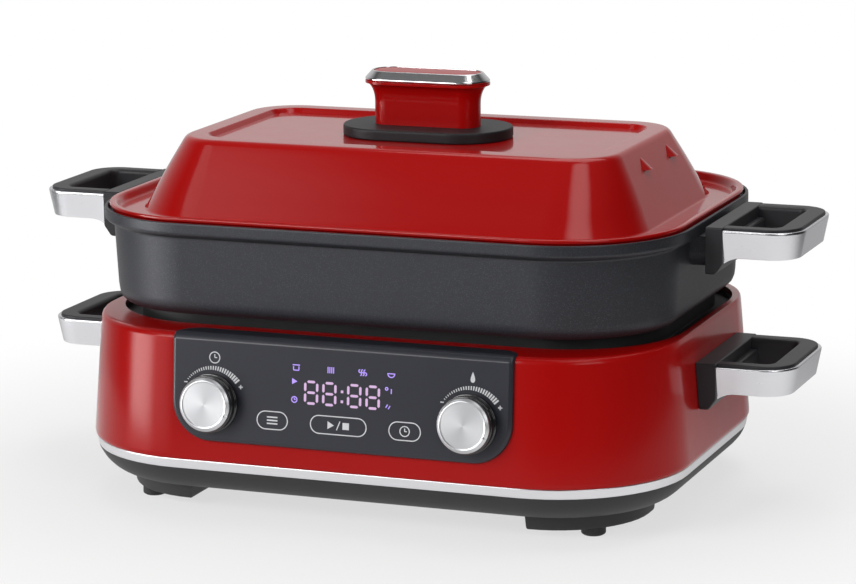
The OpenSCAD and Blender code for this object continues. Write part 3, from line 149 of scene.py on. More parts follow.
def nonStick(name):
    paint = Paint(name, Specular_IOR_Level=0.5)
    fleck = paint.cells(3400.0) > 0.9
    grain = paint.noise(1800.0, 3.0)
    dark = paint.mix(grain, (0.019, 0.020, 0.025), (0.031, 0.032, 0.039))
    paint.set("Base Color", paint.mix(fleck, dark, (0.066, 0.069, 0.086)))
    paint.set("Roughness", 0.38 + 0.14 * grain - 0.06 * fleck)
    paint.set("Metallic", 0.2 + 0.3 * fleck)
    paint.bump(grain, 0.03, 0.35)
    return paint.material


def moulded(name, colour, rough, shine=0.5):
    paint = Paint(name, Specular_IOR_Level=shine)
    grain = paint.noise(2200.0, 3.0)
    paint.tint(paint.noise(30.0), colour, 0.88, 1.12)
    paint.set("Roughness", rough + 0.12 * grain)
    paint.bump(grain, 0.03, 0.4)
    return paint.material


def glossPlastic(name, colour):
    paint = Paint(name, Coat_Weight=0.6, Coat_Roughness=0.05)
    paint.tint(paint.noise(40.0), colour, 0.9, 1.1)
    paint.set("Roughness", 0.16 + 0.08 * paint.noise(300.0))
    paint.bump(paint.noise(700.0), 0.008, 0.2)
    return paint.material


# Plain metals, with the lay of their finish stretched along one way
def metal(name, colour, rough, stretch=(1, 1, 1), grain=900.0, depth=0.01):
    paint = Paint(name, Metallic=1.0)
    lay = paint.noise(grain, 2.0, paint.place(stretch))
    paint.tint(lay, colour, 0.94, 1.05)
    paint.set("Roughness", rough + 0.06 * lay)
    paint.bump(lay, depth, 0.25)
    return paint.material


# Turned face: fine rings round the knob's own axis, and a painted highlight: the soft fan of light that they
# throw, painted into the colour
def spunFace(name, centre):
    paint = Paint(name, Metallic=1.0)
    spot = paint.place(centre=centre, turn=(wall["slope"] - pi / 2, 0, 0))
    parts = paint.node("ShaderNodeSeparateXYZ", {}, {0: spot})
    flat = [Value(paint, parts.socket.node.outputs[i]) for i in (0, 1)]
    radius = (flat[0] * flat[0] + flat[1] * flat[1]) ** 0.5
    angle = flat[1].math("ARCTAN2", flat[0])
    paintedFan = (angle * 2.0 + 0.7).math("COSINE") * 0.5 + 0.5
    rings = paint.noise(14000.0, 1.0, paint.node("ShaderNodeCombineXYZ", {}, {0: radius}))
    # Painted highlight: the colour is lighter and darker in sectors round the axis
    paint.set("Base Color", paint.mix(paintedFan, (0.5, 0.505, 0.52), (0.69, 0.695, 0.71)))
    paint.set("Roughness", 0.3 + 0.1 * rings)
    paint.bump(rings, 0.01, 0.3)
    return paint.material


def printed(name, colour):
    paint = Paint(name)
    paint.tint(paint.noise(900.0), colour, 0.92, 1.04)
    paint.set("Roughness", 0.5 + 0.1 * paint.noise(1500.0))
    return paint.material


def lit(name, colour, strength):
    paint = Paint(name, Emission_Strength=strength, Roughness=0.4)
    paint.tint(paint.noise(600.0), colour, 0.3, 0.35)
    paint.tint(paint.noise(400.0), colour, 0.92, 1.04, "Emission Color")
    return paint.material


# The maker of each finish and what it is given: for most a colour, then roughness
recipes = {
    "redEnamel": (redEnamel, 0.07, 1.34),
    "redGloss": (redEnamel, 0.15, 1.24),
    "redInlay": (redEnamel, 0.25, 1.12),
    "nonStick": (nonStick,),
    "handleBlack": (moulded, (0.029, 0.028, 0.031), 0.36, 0.28),
    "footBlack": (moulded, (0.016, 0.016, 0.018), 0.42, 0.25),
    "trayBlack": (moulded, (0.020, 0.020, 0.021), 0.5),
    "panelSlate": (moulded, (0.023, 0.024, 0.033), 0.24, 0.42),
    "glossBlack": (glossPlastic, (0.012, 0.012, 0.013)),
    "satinSilver": (metal, (0.74, 0.74, 0.765), 0.23, (0.04, 0.04, 1.0), 3600.0, 0.0005),
    "bandSilver": (metal, (0.78, 0.78, 0.8), 0.27, (0.03, 0.03, 1.0), 3600.0, 0.0004),
    "chrome": (metal, (0.72, 0.72, 0.735), 0.06, (1, 1, 1), 300.0, 0.003),
    "zinc": (metal, (0.55, 0.55, 0.57), 0.3),
    "brightSheet": (metal, (0.62, 0.62, 0.63), 0.22, (0.03, 1.0, 1.0), 1500.0),
    "castPlate": (moulded, (0.05, 0.05, 0.053), 0.4),
    "brass": (metal, (0.62, 0.47, 0.22), 0.25),
    "windings": (metal, (0.4, 0.22, 0.12), 0.35, (1.0, 0.1, 0.1), 1200.0),
    "rubber": (moulded, (0.018, 0.018, 0.018), 0.6),
    "boardGreen": (glossPlastic, (0.02, 0.12, 0.045)),
    "caseBlue": (glossPlastic, (0.02, 0.07, 0.2)),
    "sleeve": (moulded, (0.5, 0.47, 0.42), 0.5),
    "printWhite": (printed, (0.75, 0.76, 0.78)),
    "digitLit": (lit, (0.68, 0.46, 0.72), 0.75),
    "modeLit": (lit, (0.42, 0.29, 0.85), 1.0),
}
finishes = {name: make(name, *sizes) for name, (make, *sizes) in recipes.items()}
print("finishes ready:", len(finishes))


# Mesh tools, in millimetres until a mesh is made

def grow(outline, out):
    return tuple(side + out for side in outline)


# Points on part of a circle, both ends among them, its ends in degrees
def arc(x, y, radius, first, last, steps):
    turns = [radians(t) for t in np.linspace(first, last, steps + 1)]
    return [(x + radius * cos(t), y + radius * sin(t)) for t in turns]


def circle(radius, steps):
    return arc(0, 0, radius, 0, 360, steps)[:-1]


def rectangle(x0, y0, x1, y1):
    return [(x0, y0), (x1, y0), (x1, y1), (x0, y1)]


def roundRect(halfW, halfD, radius, steps=14):
    points = []
    for quarter, (sx, sy) in enumerate(((1, 1), (-1, 1), (-1, -1), (1, -1))):
        first = 90 * quarter
        points += arc(sx * (halfW - radius), sy * (halfD - radius), radius, first, first + 90, steps)
    return points


# Rounds a line's corners: the last number of each point is how far its corner is softened
def soften(points, closed=True, steps=4):
    made = []
    spots = [np.array(p[:-1], float) for p in points]
    for i, here in enumerate(spots):
        soft = points[i][-1]
        if not soft or (not closed and i in (0, len(spots) - 1)):
            made.append(here)
            continue
        ends = []
        for other in (spots[i - 1], spots[(i + 1) % len(spots)]):
            way = other - here
            length = np.linalg.norm(way)
            ends.append(here + way / length * min(soft, 0.48 * length))
        for t in np.linspace(0, 1, steps + 1):
            made.append(ends[0] * (1 - t) ** 2 + here * 2 * t * (1 - t) + ends[1] * t * t)
    return made


def fromRings(name, rings, closed=False):
    count = len(rings[0])
    faces = []
    for j in range(len(rings) if closed else len(rings) - 1):
        a, b = j * count, (j + 1) % len(rings) * count
        faces += [(a + i, a + (i + 1) % count, b + (i + 1) % count, b + i) for i in range(count)]
    if not closed:
        faces += [tuple(range(end, end + count)) for end in (0, (len(rings) - 1) * count)]
    mesh = bpy.data.meshes.new(name)
    mesh.from_pydata([[c * mm for c in p] for ring in rings for p in ring], [], faces)
    return outward(newObject(name, mesh))


def newObject(name, data):
    made = bpy.data.objects.new(name, data)
    bpy.context.scene.collection.objects.link(made)
    return made


@contextmanager
def editing(mesh):
    work = bmesh.new()
    work.from_mesh(mesh)
    yield work
    work.to_mesh(mesh)
    work.free()


def outward(piece):
    with editing(piece.data) as work:
        bmesh.ops.remove_doubles(work, verts=work.verts, dist=1e-7)
        bmesh.ops.recalc_face_normals(work, faces=work.faces)
    return piece


# Levels are half width, half depth, corner radius, centre y, height and softness
def loft(name, levels, closed=True):
    rings = []
    for *outline, radius, midY, z in soften(levels, closed):
        rings.append([(x, y + midY, z) for x, y in roundRect(*outline, max(radius, 0.2))])
    return fromRings(name, rings, closed)


# A section swept round an outline: out, height and softness
def around(name, outline, midY, section, closed=True):
    return loft(name, [(*grow(outline, out), midY, z, soft) for out, z, soft in section], closed)


def turned(name, profile, steps, spot=(0, 0, 0), matrix=Matrix.Identity(4)):
    rings = [[(x, y, z) for x, y in circle(radius, steps)] for radius, z in soften(profile, False)]
    piece = fromRings(name, rings)
    piece.data.transform(matrix @ Matrix.Translation(Vector(spot) * mm))
    return piece


def prism(name, points, low, high):
    return fromRings(name, [[(x, y, z) for x, y in points] for z in (low, high)])


def block(name, low, high):
    return prism(name, rectangle(*low[:2], *high[:2]), low[2], high[2])


def settle(piece):
    graph = bpy.context.evaluated_depsgraph_get()
    made = bpy.data.meshes.new_from_object(piece.evaluated_get(graph))
    piece.modifiers.clear()
    piece.data = made
    return piece


def combine(piece, other, how):
    change = piece.modifiers.new(how, "BOOLEAN")
    change.operation = how
    change.solver = "MANIFOLD"
    change.object = other
    settle(piece)
    bpy.data.objects.remove(other)
    return piece


def drill(piece, radius, low, high, spot):
    plug = turned("plug", [(radius, low, 0), (radius, high, 0)], 40, spot)
    return combine(piece, plug, "DIFFERENCE")


def rounded(piece, width, angle=40, segments=3):
    change = piece.modifiers.new("edge", "BEVEL")
    change.width = width * mm
    change.segments = segments
    change.limit_method = "ANGLE"
    change.angle_limit = radians(angle)
    return settle(piece)


def dress(piece, finish, body, nodes, angle=38):
    piece.data.materials.clear()
    piece.data.materials.append(finishes[finish])
    piece.data.shade_smooth()
    piece.data.set_sharp_from_angle(angle=radians(angle))
    weigh = piece.modifiers.new("flats", "WEIGHTED_NORMAL")
    weigh.keep_sharp = True
    weigh.weight = 100
    settle(piece)
    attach(piece, body)
    if nodes:
        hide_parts(*nodes)
    return piece


# Puts x across, y up the wall and z out of it
def onWall(front=True):
    lean = Matrix.Rotation(pi / 2 - wall["slope"], 4, "X")
    spot = Vector((0, wall["frontY"] - bodyY, wall["controlZ"])) * mm
    turn = Matrix.Rotation(0 if front else pi, 4, "Z")
    return Matrix.Translation((0, bodyY * mm, 0)) @ turn @ Matrix.Translation(spot) @ lean


# Geometry Nodes: a row of bars along an arc, and one shape set at a mesh's points

class Tree(Nodes):
    def __init__(self, name, **sockets):
        super().__init__(bpy.data.node_groups.new(name, "GeometryNodeTree"))
        for way in ("OUTPUT", "INPUT"):
            self.tree.interface.new_socket("Geometry", in_out=way, socket_type="NodeSocketGeometry")
        self.named = {}
        for label, kind in sockets.items():
            made = self.tree.interface.new_socket(label, in_out="INPUT", socket_type="NodeSocket" + kind)
            self.named[label] = made.identifier
        self.given = self.tree.nodes.new("NodeGroupInput")
        self.result = self.tree.nodes.new("NodeGroupOutput")

    def value(self, label):
        return Value(self, self.given.outputs[label])

    def end(self, **placed):
        spread = self.node("GeometryNodeInstanceOnPoints", {}, placed)
        real = self.node("GeometryNodeRealizeInstances", {}, {"Geometry": spread})
        self.feed(self.result.inputs[0], real)

    def run(self, name, mesh, **values):
        piece = newObject(name, mesh)
        change = piece.modifiers.new(name, "NODES")
        change.node_group = self.tree
        for label, value in values.items():
            change[self.named[label]] = value
        return settle(piece)


def arcTree():
    sockets = ("Radius", "First", "Sweep", "Short", "Long", "Thin", "Wide", "Height")
    tree = Tree("tickArc", Count="Int", **{label: "Float" for label in sockets})
    get = tree.value
    index = tree.node("GeometryNodeInputIndex", {}, {})
    share = index.math("DIVIDE", get("Count") - 1)
    length = get("Short") + share * (get("Long") - get("Short"))
    width = get("Thin") + share * (get("Wide") - get("Thin"))
    angle = get("First") + share * get("Sweep")
    reach = get("Radius") + length * 0.5
    spots = {0: reach * angle.math("COSINE"), 1: reach * angle.math("SINE")}
    line = tree.node("GeometryNodeMeshLine", {}, {"Count": get("Count")})
    spot = tree.node("ShaderNodeCombineXYZ", {}, spots)
    points = tree.node("GeometryNodeSetPosition", {}, {"Geometry": line, "Position": spot})
    bar = tree.node("GeometryNodeMeshCube", {}, {"Size": (1, 1, 1)})
    size = tree.node("ShaderNodeCombineXYZ", {}, {0: length, 1: width, 2: get("Height")})
    turn = tree.node("ShaderNodeCombineXYZ", {}, {2: angle})
    tree.end(Points=points, Instance=bar, Rotation=turn, Scale=size)
    return tree


def pointTree():
    tree = Tree("shapeAtPoints", Shape="Object")
    shape = tree.node("GeometryNodeObjectInfo", {}, {"Object": tree.value("Shape")}, "Geometry")
    kind = {"data_type": "FLOAT_VECTOR"}
    turn = tree.node("GeometryNodeInputNamedAttribute", kind, {"Name": "turn"})
    tree.end(Points=tree.value("Geometry"), Instance=shape, Rotation=turn)
    return tree


trees = {"arc": arcTree(), "points": pointTree()}
fourCorners = [(sx, sy) for sx in (-1, 1) for sy in (-1, 1)]


# Copies one shape to places, each a point in millimetres and a turn
def atPoints(name, shape, places):
    mesh = bpy.data.meshes.new(name)
    mesh.from_pydata([[c * mm for c in spot] for spot, _ in places], [], [])
    turns = mesh.attributes.new("turn", "FLOAT_VECTOR", "POINT")
    for item, (_, turn) in zip(turns.data, places):
        item.vector = turn
    piece = trees["points"].run(name, mesh, Shape=shape)
    bpy.data.objects.remove(shape)
    return piece


# Lid

lid = {"lip": (161.6, 115.2, 64.2), "flange": 153.6, "sheet": 1.6, "swell": 0.8, "foot": 0.6,
       "dome": (142.0, 96.0, 46.0), "domeIn": -1.4, "top": (123.2, 66.8, 26.0), "topZ": 191.8, "topIn": -2.4,
       "recess": (111.7, 55.3, 14.5), "recessZ": 189.3, "recessDraft": -2.0, "under": 187.3}
# From under the flange round the lip's bead to the trough: out, height and softness
lipSection = [(-7.4, 152.0, 1.0), (-4.2, 154.6, 1.2), (-3.6, 152.3, 0.5), (-1.7, 152.3, 0.4),
              (-1.7, 155.3, 0.5), (0, 156.0, 0.8), (0, 158.0, 1.8), (-3.8, 158.0, 2.0), (-5.6, 153.6, 1.6)]
gills = {"y": (-17.0, 29.0), "low": 180.0, "half": 6.2, "high": 6.8, "reach": 4.0, "back": 3.5,
         "hollow": {"low": 0.6, "half": 1.6, "high": 1.8, "reach": 0.9}}


def makeLid():
    low = lid["flange"]
    rows = [
        (lid["top"], lid["topIn"], lid["under"], 5.0),
        (lid["dome"], lid["domeIn"], low - lid["sheet"], 3.0),
        *[(lid["lip"], *point) for point in lipSection],
        (lid["dome"], lid["foot"], low, 1.6),
        *domeWall(),
        (lid["top"], 0.2, lid["topZ"], 4.0),
        (lid["recess"], 0, lid["topZ"], 0.9),
        (lid["recess"], lid["recessDraft"], lid["recessZ"], 1.2),
    ]
    levels = [(*grow(outline, out), cookY, z, soft) for outline, out, z, soft in rows]
    shell = loft("lid_shell_skin", levels, False)
    lean = (lid["dome"][0] - lid["top"][0]) / (lid["topZ"] - low)
    foot = lid["top"][0] + lean * (lid["topZ"] - gills["low"])
    for y in gills["y"]:
        for hollow, how in ((0, "UNION"), (1, "DIFFERENCE")):
            combine(shell, gill(foot, cookY + y, lean, hollow), how)
    dress(shell, "redEnamel", "lid", ["lid_shell"], 30)


# The dome's side swells a little between its foot and its top
def domeWall(steps=6):
    rows = []
    rise = lid["topZ"] - lid["flange"]
    for t in np.linspace(0, 1, steps + 2)[1:-1]:
        mid = [a + (b - a) * t for a, b in zip(lid["dome"], lid["top"])]
        rows.append((mid, lid["swell"] * 4 * t * (1 - t), lid["flange"] + rise * t, 0))
    return rows


# A pressed hood that runs out to a point at its top, or the hollow under it
def gill(foot, y, lean, hollow):
    less = gills["hollow"]
    low, half, high, reach = [gills[side] - hollow * less[side] for side in ("low", "half", "high", "reach")]
    rings = []
    for t in np.linspace(0, 1, 9):
        width = half * (1 - t) ** 0.75 + 0.15
        out = reach * (1 - t) ** 1.1 + 0.05
        z = low + high * t
        x = foot - lean * (z - gills["low"])
        back = x - gills["back"]
        turns = np.linspace(0, pi, 13)
        arch = [(x + out * sin(a) ** 1.4, y + width * cos(a), z) for a in turns]
        rings.append(arch + [(back, y - width, z), (back, y + width, z)])
    return fromRings("gill", rings)


makeLid()

lidKnob = {"foot": (47.5, 28.0, 27.4), "footZ": (189.3, 195.3), "footCore": -20.0, "grip": (30.0, 9.5, 9.0),
           "gripCore": -6.0, "flare": 5.2, "flareZ": 207.3, "neck": 1.4, "ringZ": 219.3, "ringTop": 224.7,
           "bevel": 3.8, "edge": 1.0, "seam": 0.2, "crown": 0.35}


def makeLidKnob():
    low, high = lidKnob["footZ"]
    core = lidKnob["footCore"]
    stand = around("lid_knob_foot_skin", lidKnob["foot"], cookY, [
        (core, low, 0), (-0.5, low, 0.4), (0, low + 0.6, 0.5), (0, high, 1.6), (core, high, 0)], False)
    dress(stand, "footBlack", "lid", ["lid_knob_foot"])
    grip, core = lidKnob["grip"], lidKnob["gripCore"]
    out, top, crown = lidKnob["flare"], lidKnob["ringZ"], lidKnob["ringTop"]
    rise = top - lidKnob["flareZ"] - lidKnob["neck"]
    turns = np.linspace(0, pi / 2, 13)
    curve = [(out * (1 - cos(t)), lidKnob["flareZ"] + rise * sin(t), 0) for t in turns]
    column = around("lid_knob_grip_skin", grip, cookY, [
        (core, low, 0), (0, low, 0), (0, high, 0.3), *curve, (out, top, 0.3), (core, top, 0)], False)
    dress(column, "redGloss", "lid", ["lid_knob_grip"], 50)
    inner = out - lidKnob["bevel"] - lidKnob["edge"]
    ring = around("lid_knob_ring_skin", grip, cookY, [
        (inner, top, 0), (out - 0.5, top, 0.4), (out, top + 0.8, 0.5), (out - 0.2, top + 1.5, 0.5),
        (out - lidKnob["bevel"], crown, 0.5), (inner, crown, 0.3)])
    dress(ring, "chrome", "lid", ["lid_knob_ring"], 25)
    inner -= lidKnob["seam"]
    inlay = around("lid_knob_inlay_skin", grip, cookY, [
        (core, top, 0), (inner, top, 0), (inner, crown - lidKnob["crown"], 0.5), (-2, crown - 0.1, 2),
        (core, crown, 0)], False)
    dress(inlay, "redInlay", "lid", ["lid_knob_inlay"])


makeLidKnob()
print("lid made")

# Pot

pot = {"rim": (164.4, 118.0, 67.0), "rimZ": 155.5, "rimLow": 148.5, "step": 5.0, "low": 104.6, "floor": 107.8,
       "draft": 2.2, "round": 7.0, "wall": 3.2, "lipWall": 1.8, "seatZ": 152.0,
       "bossX": 169.0, "bossHalf": 35.0, "bossLow": 132.1, "bossRound": 9.0}


def makePot():
    step, draft, curve = pot["step"], pot["draft"], pot["round"]
    skin = around("pot_skin", pot["rim"], cookY, [
        (-2 * curve - step, pot["low"], 0), (-step - draft, pot["low"], curve * 1.2),
        (-step - 0.1, pot["rimLow"] - 1.6, 1.2), (-1.2, pot["rimLow"], 1.6),
        (0, pot["rimLow"] + 1.4, 0.9), (0, pot["rimZ"], 0.9),
        (-pot["lipWall"], pot["rimZ"], 0.5), (-pot["lipWall"], pot["seatZ"], 0.5),
        (-step - pot["wall"], pot["seatZ"], 1.2), (-step - draft - pot["wall"], pot["floor"], curve * 0.9),
        (-2 * curve - step, pot["floor"], 0)], False)
    wallX = pot["rim"][0] - step - draft - 0.4
    half, low, curve = pot["bossHalf"], pot["bossLow"], pot["bossRound"]
    face = [(half, pot["rimLow"] + 1), (-half, pot["rimLow"] + 1)]
    for side, first in ((-1, 180), (1, 270)):
        face += arc(side * (half - curve), low + curve, curve, first, first + 90, 8)
    for side in (-1, 1):
        rings = [[(side * x, cookY + y, z) for y, z in face] for x in (wallX, pot["bossX"])]
        combine(skin, rounded(fromRings("boss", rings), 0.8), "UNION")
    dress(skin, "nonStick", "pot", ["pot"], 30)


makePot()
print("pot made")

# Handles: a black bracket and loop, and a silver trim round the loop

handle = {"half": 40.0, "reach": 40.6, "radius": 18.0, "trimHigh": 17.9, "trimThick": 2.2, "lean": 3.0,
          "rise": 3.1, "lip": 9.0, "arm": 11.0, "over": 1.4, "under": 5.6, "chamfer": 4.0, "back": 4.0,
          "backDrop": 6.0, "backRound": 1.6, "widen": 2.5}
handleSets = {
    "pot": {"body": "pot", "start": 178.4, "top": 153.6, "face": (169.0, 169.0)},
    "body": {"body": "base", "start": 175.4, "top": 80.8, "face": (166.24, 164.0)},
}


# Stations round a loop: place, outward way and how far along
def loopStations(steps=12, tail=(0.6, 1.8, 3.4, 5.0, 7.0, 9.0, 12.0)):
    half, radius = handle["half"], handle["radius"]
    flat = handle["reach"] - radius
    right = [(x, half, 0.0, 1.0, x) for x in (0.0, *tail, flat)]
    for i in range(1, steps + 1):
        t = radians(90 * i / steps)
        nx, ny = sin(t), cos(t)
        right.append((flat + radius * nx, half - radius + radius * ny, nx, ny, flat + radius * t))
    left = [(x, -y, nx, -ny, along) for x, y, nx, ny, along in reversed(right)]
    return right + left


def swept(name, side, start, section):
    rings = []
    for x, y, nx, ny, along in loopStations():
        line = section(along)
        rings.append([(side * (start + x + nx * out), cookY + y + ny * out, z) for out, z in line])
    return fromRings(name, rings)


def makeHandle(kind, side, word):
    spec = handleSets[kind]
    start, top = spec["start"], spec["top"]
    foot, high = top - handle["trimHigh"], top + handle["over"]
    low, barLow = foot - handle["under"], foot + handle["rise"]
    thick, lean, arm = handle["trimThick"], handle["lean"], handle["arm"]
    straight, bend = handle["reach"] - handle["radius"], handle["radius"] * pi / 2

    # The bar across the end is wider than the arms
    def coreSection(along):
        share = min(1.0, max(0.0, (along - straight) / bend))
        inner = -arm - handle["widen"] * (1 - cos(pi * share)) / 2
        return soften([(-thick - lean, barLow, 0), (-thick, top, 0), (-thick, high, 0.9), (inner, high, 2.6),
                       (inner, barLow, 2.0)])

    core = swept("core", side, start, coreSection)
    outline = soften([(spec["face"][0], low, 0.6), (start - handle["chamfer"], low, 1.2),
                      (start, low + handle["under"], 1.2), (start, high, 0.9), (spec["face"][1], high, 0.5)])
    middle = sum(outline) / len(outline)
    rings = []
    for y, size in ((-1, 0.94), (-0.98, 1), (0.98, 1), (1, 0.94)):
        ring = [middle + (p - middle) * size for p in outline]
        rings.append([(side * x, cookY + y * handle["half"], z) for x, z in ring])
    combine(core, fromRings("bracket", rings), "UNION")
    inner = handle["half"] - arm + 1
    xs = sorted((side * (start - 1), side * (start + handle["back"])))
    back = block("back", (xs[0], cookY - inner, barLow), (xs[1], cookY + inner, high - handle["backDrop"]))
    combine(core, rounded(back, handle["backRound"]), "UNION")
    name = f"{kind}_handle_{word}"
    core.name = name + "_core"
    dress(core, "handleBlack", spec["body"], [name])

    def trimSection(along):
        drop = max(0.0, 1 - along / handle["lip"]) ** 2 * (barLow - foot)
        end = barLow - drop
        return soften([(-lean, end, 0.3), (0, top, 1.5), (-thick, top, 0.2), (-thick - lean, end, 0.3)])

    trim = swept(name + "_band", side, start, trimSection)
    dress(trim, "satinSilver", spec["body"], [name + "_trim"])


for kind in handleSets:
    makeHandle(kind, -1, "left")
    makeHandle(kind, 1, "right")
print("handles made")

# Base

base = {"shell": (162.7, 119.1, 67.0), "ledgeZ": 99.2, "ledgeLow": 96.2, "low": 31.8, "flare": 5.5,
        "wall": 3.0, "open": (158.5, 103.5, 62.0), "cut": (-7.0, 5.0),
        "window": (86.0, -15.0, 28.0), "inlet": (60.0, 9.0, 14.2, 10.7)}


def makeHousing():
    shell, opening = base["shell"], base["open"]
    flare, thick = base["flare"], base["wall"]
    skin = loft("housing_skin", [
        (*grow(shell, flare - thick), bodyY, base["low"], 0.4),
        (*grow(shell, flare), bodyY, base["low"], 3.0),
        (*shell, bodyY, base["ledgeZ"], 3.6),
        (*opening, cookY, base["ledgeZ"], 0.7),
        (*opening, cookY, base["ledgeLow"], 0),
        (*grow(shell, -thick), bodyY, base["ledgeLow"], 0)])
    near, far = base["cut"]
    halfW, low, high = base["window"]
    window = block("window", (-halfW, low, near), (halfW, high, far))
    x, drop, halfW, halfH = base["inlet"]
    inlet = block("inlet", (x - halfW, -drop - halfH, near), (x + halfW, halfH - drop, far))
    for hole, front in ((window, True), (inlet, False)):
        hole.data.transform(onWall(front))
        combine(skin, hole, "DIFFERENCE")
    dress(skin, "redGloss", "base", ["housing"], 30)


makeHousing()

band = {"low": 26.5, "high": 31.8, "out": 4.6, "lean": 1.0, "thick": 1.6}
tray = {"low": 13.7, "floor": 16.2, "curve": 12.0, "lip": 10.0, "wall": 2.5, "core": 20.0,
        "podZ": 4.5, "podInset": 8.0, "podRound": 2.0, "gap": (95.0, 45.0),
        "pad": (125.5, 84.0), "padR": 6.7, "padSeat": 1.5,
        "screw": (130.47, 64.75), "headZ": 10.5, "headR": 4.2,
        "ventX": 75.0, "ventPitch": 9.0, "vents": 7, "ventHalf": (1.5, 17.0, 5.0), "ventY": 25.0}


def makeBand():
    out, inner = band["out"], band["out"] - band["lean"] - band["thick"]
    piece = around("trim_band_skin", base["shell"], bodyY, [
        (inner, band["low"], 0), (out - band["lean"], band["low"], 0.5), (out, band["high"], 0.9),
        (inner, band["high"], 0)])
    dress(piece, "bandSilver", "base", ["trim_band"])


def makeTray():
    side = band["out"] - band["lean"]
    inner = side - band["thick"]
    rise = band["low"] - tray["low"]
    curve = []
    for t in np.linspace(0, 1, 13):
        bow = (t + sin(t * pi / 2)) / 2
        lift = (t + 1 - cos(t * pi / 2)) / 2
        curve.append((side - tray["curve"] * (1 - bow), tray["low"] + rise * lift, 0))
    edge = side - tray["curve"]
    core, rim, lining = edge - tray["core"], band["low"] + tray["lip"], inner - tray["wall"]
    shell = around("base_tray_skin", base["shell"], bodyY, [
        (core, tray["low"], 0), *curve, (inner, band["low"], 0), (inner, rim, 0.5), (lining, rim, 0.5),
        (lining, band["low"], 1.0), (edge, tray["floor"], 2.0), (core, tray["floor"], 0)], False)
    for sx, sy in fourCorners:
        combine(shell, pod(sx, sy, edge), "UNION")
    half = tray["ventHalf"]
    slot = block("slot", [-side for side in half], half)
    places = []
    for i in range(tray["vents"]):
        x = tray["ventX"] + tray["ventPitch"] * (i - (tray["vents"] - 1) / 2)
        places += [((x, bodyY + y, tray["low"]), (0, 0, 0)) for y in (-tray["ventY"], tray["ventY"])]
    combine(shell, atPoints("vents", slot, places), "DIFFERENCE")
    dress(shell, "trayBlack", "base", ["base_tray"], 32)


# One foot pod, cut from the corner of the tray's own outline
def pod(sx, sy, edge):
    halfW, halfD, radius = grow(base["shell"], edge - tray["podInset"])
    gapW, gapD = tray["gap"]
    section = [(2.0, tray["podZ"], 0), (0, tray["podZ"], tray["podRound"]), (-0.8, tray["low"] + 1, 0)]
    rings = []
    for inset, z in soften(section, False):
        w, d, r = halfW - inset, halfD - inset, radius - inset
        nearX, nearY = gapW + inset, gapD + inset
        line = [(nearX, nearY), (w, nearY), *arc(w - r, d - r, r, 0, 90, 12), (nearX, d)]
        rings.append([(sx * x, bodyY + sy * y, z) for x, y in line])
    piece = fromRings("pod", rings)
    seats = (("pad", "padR", tray["podZ"] + tray["padSeat"]), ("screw", "headR", tray["headZ"]))
    for spot, wide, high in seats:
        x, y = tray[spot]
        drill(piece, tray[wide], 0, high, (sx * x, bodyY + sy * y, 0))
    return piece


makeBand()
makeTray()
print("base made")

pad = {"hole": 0.3, "face": 5.2, "edge": 0.9, "radius": 6.5}


def makePads():
    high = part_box("foot_pads")[1].z / mm
    hole, radius = pad["hole"], pad["radius"]
    shape = turned("pad", [
        (hole, 0, 0), (pad["face"], 0, 0.4), (radius, pad["edge"], 0.6), (radius, high, 0.2),
        (hole, high, 0)], 48)
    x, y = tray["pad"]
    spots = [((sx * x, bodyY + sy * y, 0), (0, 0, 0)) for sx, sy in fourCorners]
    dress(atPoints("foot_pads_skin", shape, spots), "rubber", "base", ["foot_pads"])


makePads()

# Control panel: a flat plate with a rounded edge, bent over the ledge

panel = {"halfW": 95.0, "low": -20.8, "lowRound": 21.5, "rearRound": 12.0, "edge": 2.2, "topThick": 0.5,
         "rearY": -99.6, "corner": 3.4, "shaftR": 3.6, "shaftCut": (-2.0, 6.0)}
dials = {"left": -72.0, "right": 72.0}


def bendLine():
    slope = wall["slope"]
    turn = pi / 2 - slope
    ledge = (base["ledgeZ"] - wall["controlZ"]) / cos(slope)
    first = ledge - panel["corner"] * tan(turn / 2)
    return slope, turn, first, first + panel["corner"] * turn


# Where a point of the flat plate goes: across, along the plate and out of it
def bent(x, s, out):
    slope, turn, first, last = bendLine()
    up = np.array((sin(slope), cos(slope)))
    face = np.array((-cos(slope), sin(slope)))
    start = np.array((wall["frontY"], wall["controlZ"]))
    if s <= first:
        y, z = start + up * s + face * out
        return x, y, z
    hub = start + up * first - face * panel["corner"]
    share = min(1.0, (s - first) / (last - first))
    swing = turn * share
    thin = 1 - share * (1 - panel["topThick"] / wall["proud"])
    way = face * cos(swing) + up * sin(swing)
    y, z = hub + way * (panel["corner"] + out * thin)
    return x, y + max(0.0, s - last), z


def makePanel():
    first, last = bendLine()[2:]
    end = last + panel["rearY"] - bent(0, last, 0)[1]
    rear, front = panel["rearRound"], panel["lowRound"]
    back, low = end - rear, panel["low"] + front
    line = []
    quarters = ((1, back, rear), (-1, back, rear), (-1, low, front), (1, low, front))
    for quarter, (side, s, r) in enumerate(quarters):
        line += arc(side * (panel["halfW"] - r), s, r, 90 * quarter, 90 * quarter + 90, 14)
    plate = prism("control_panel_skin", line, 0, wall["proud"])
    with editing(plate.data) as work:
        rim = [e for e in work.edges if all(abs(v.co.z / mm - wall["proud"]) < 1e-4 for v in e.verts)]
        bmesh.ops.bevel(work, geom=rim, offset=panel["edge"] * mm, segments=5, profile=0.5, affect="EDGES")
        for s in np.linspace(first, last, 11):
            every = [*work.verts, *work.edges, *work.faces]
            bmesh.ops.bisect_plane(work, geom=every, plane_co=(0, s * mm, 0), plane_no=(0, 1, 0))
    for x in dials.values():
        drill(plate, panel["shaftR"], *panel["shaftCut"], (x, 0, 0))
    for v in plate.data.vertices:
        v.co = Vector(bent(*(v.co / mm))) * mm
    dress(outward(plate), "panelSlate", "base", ["control_panel"], 35)


makePanel()

# Marks on the panel, as thin layers in its own flat: across, up and out

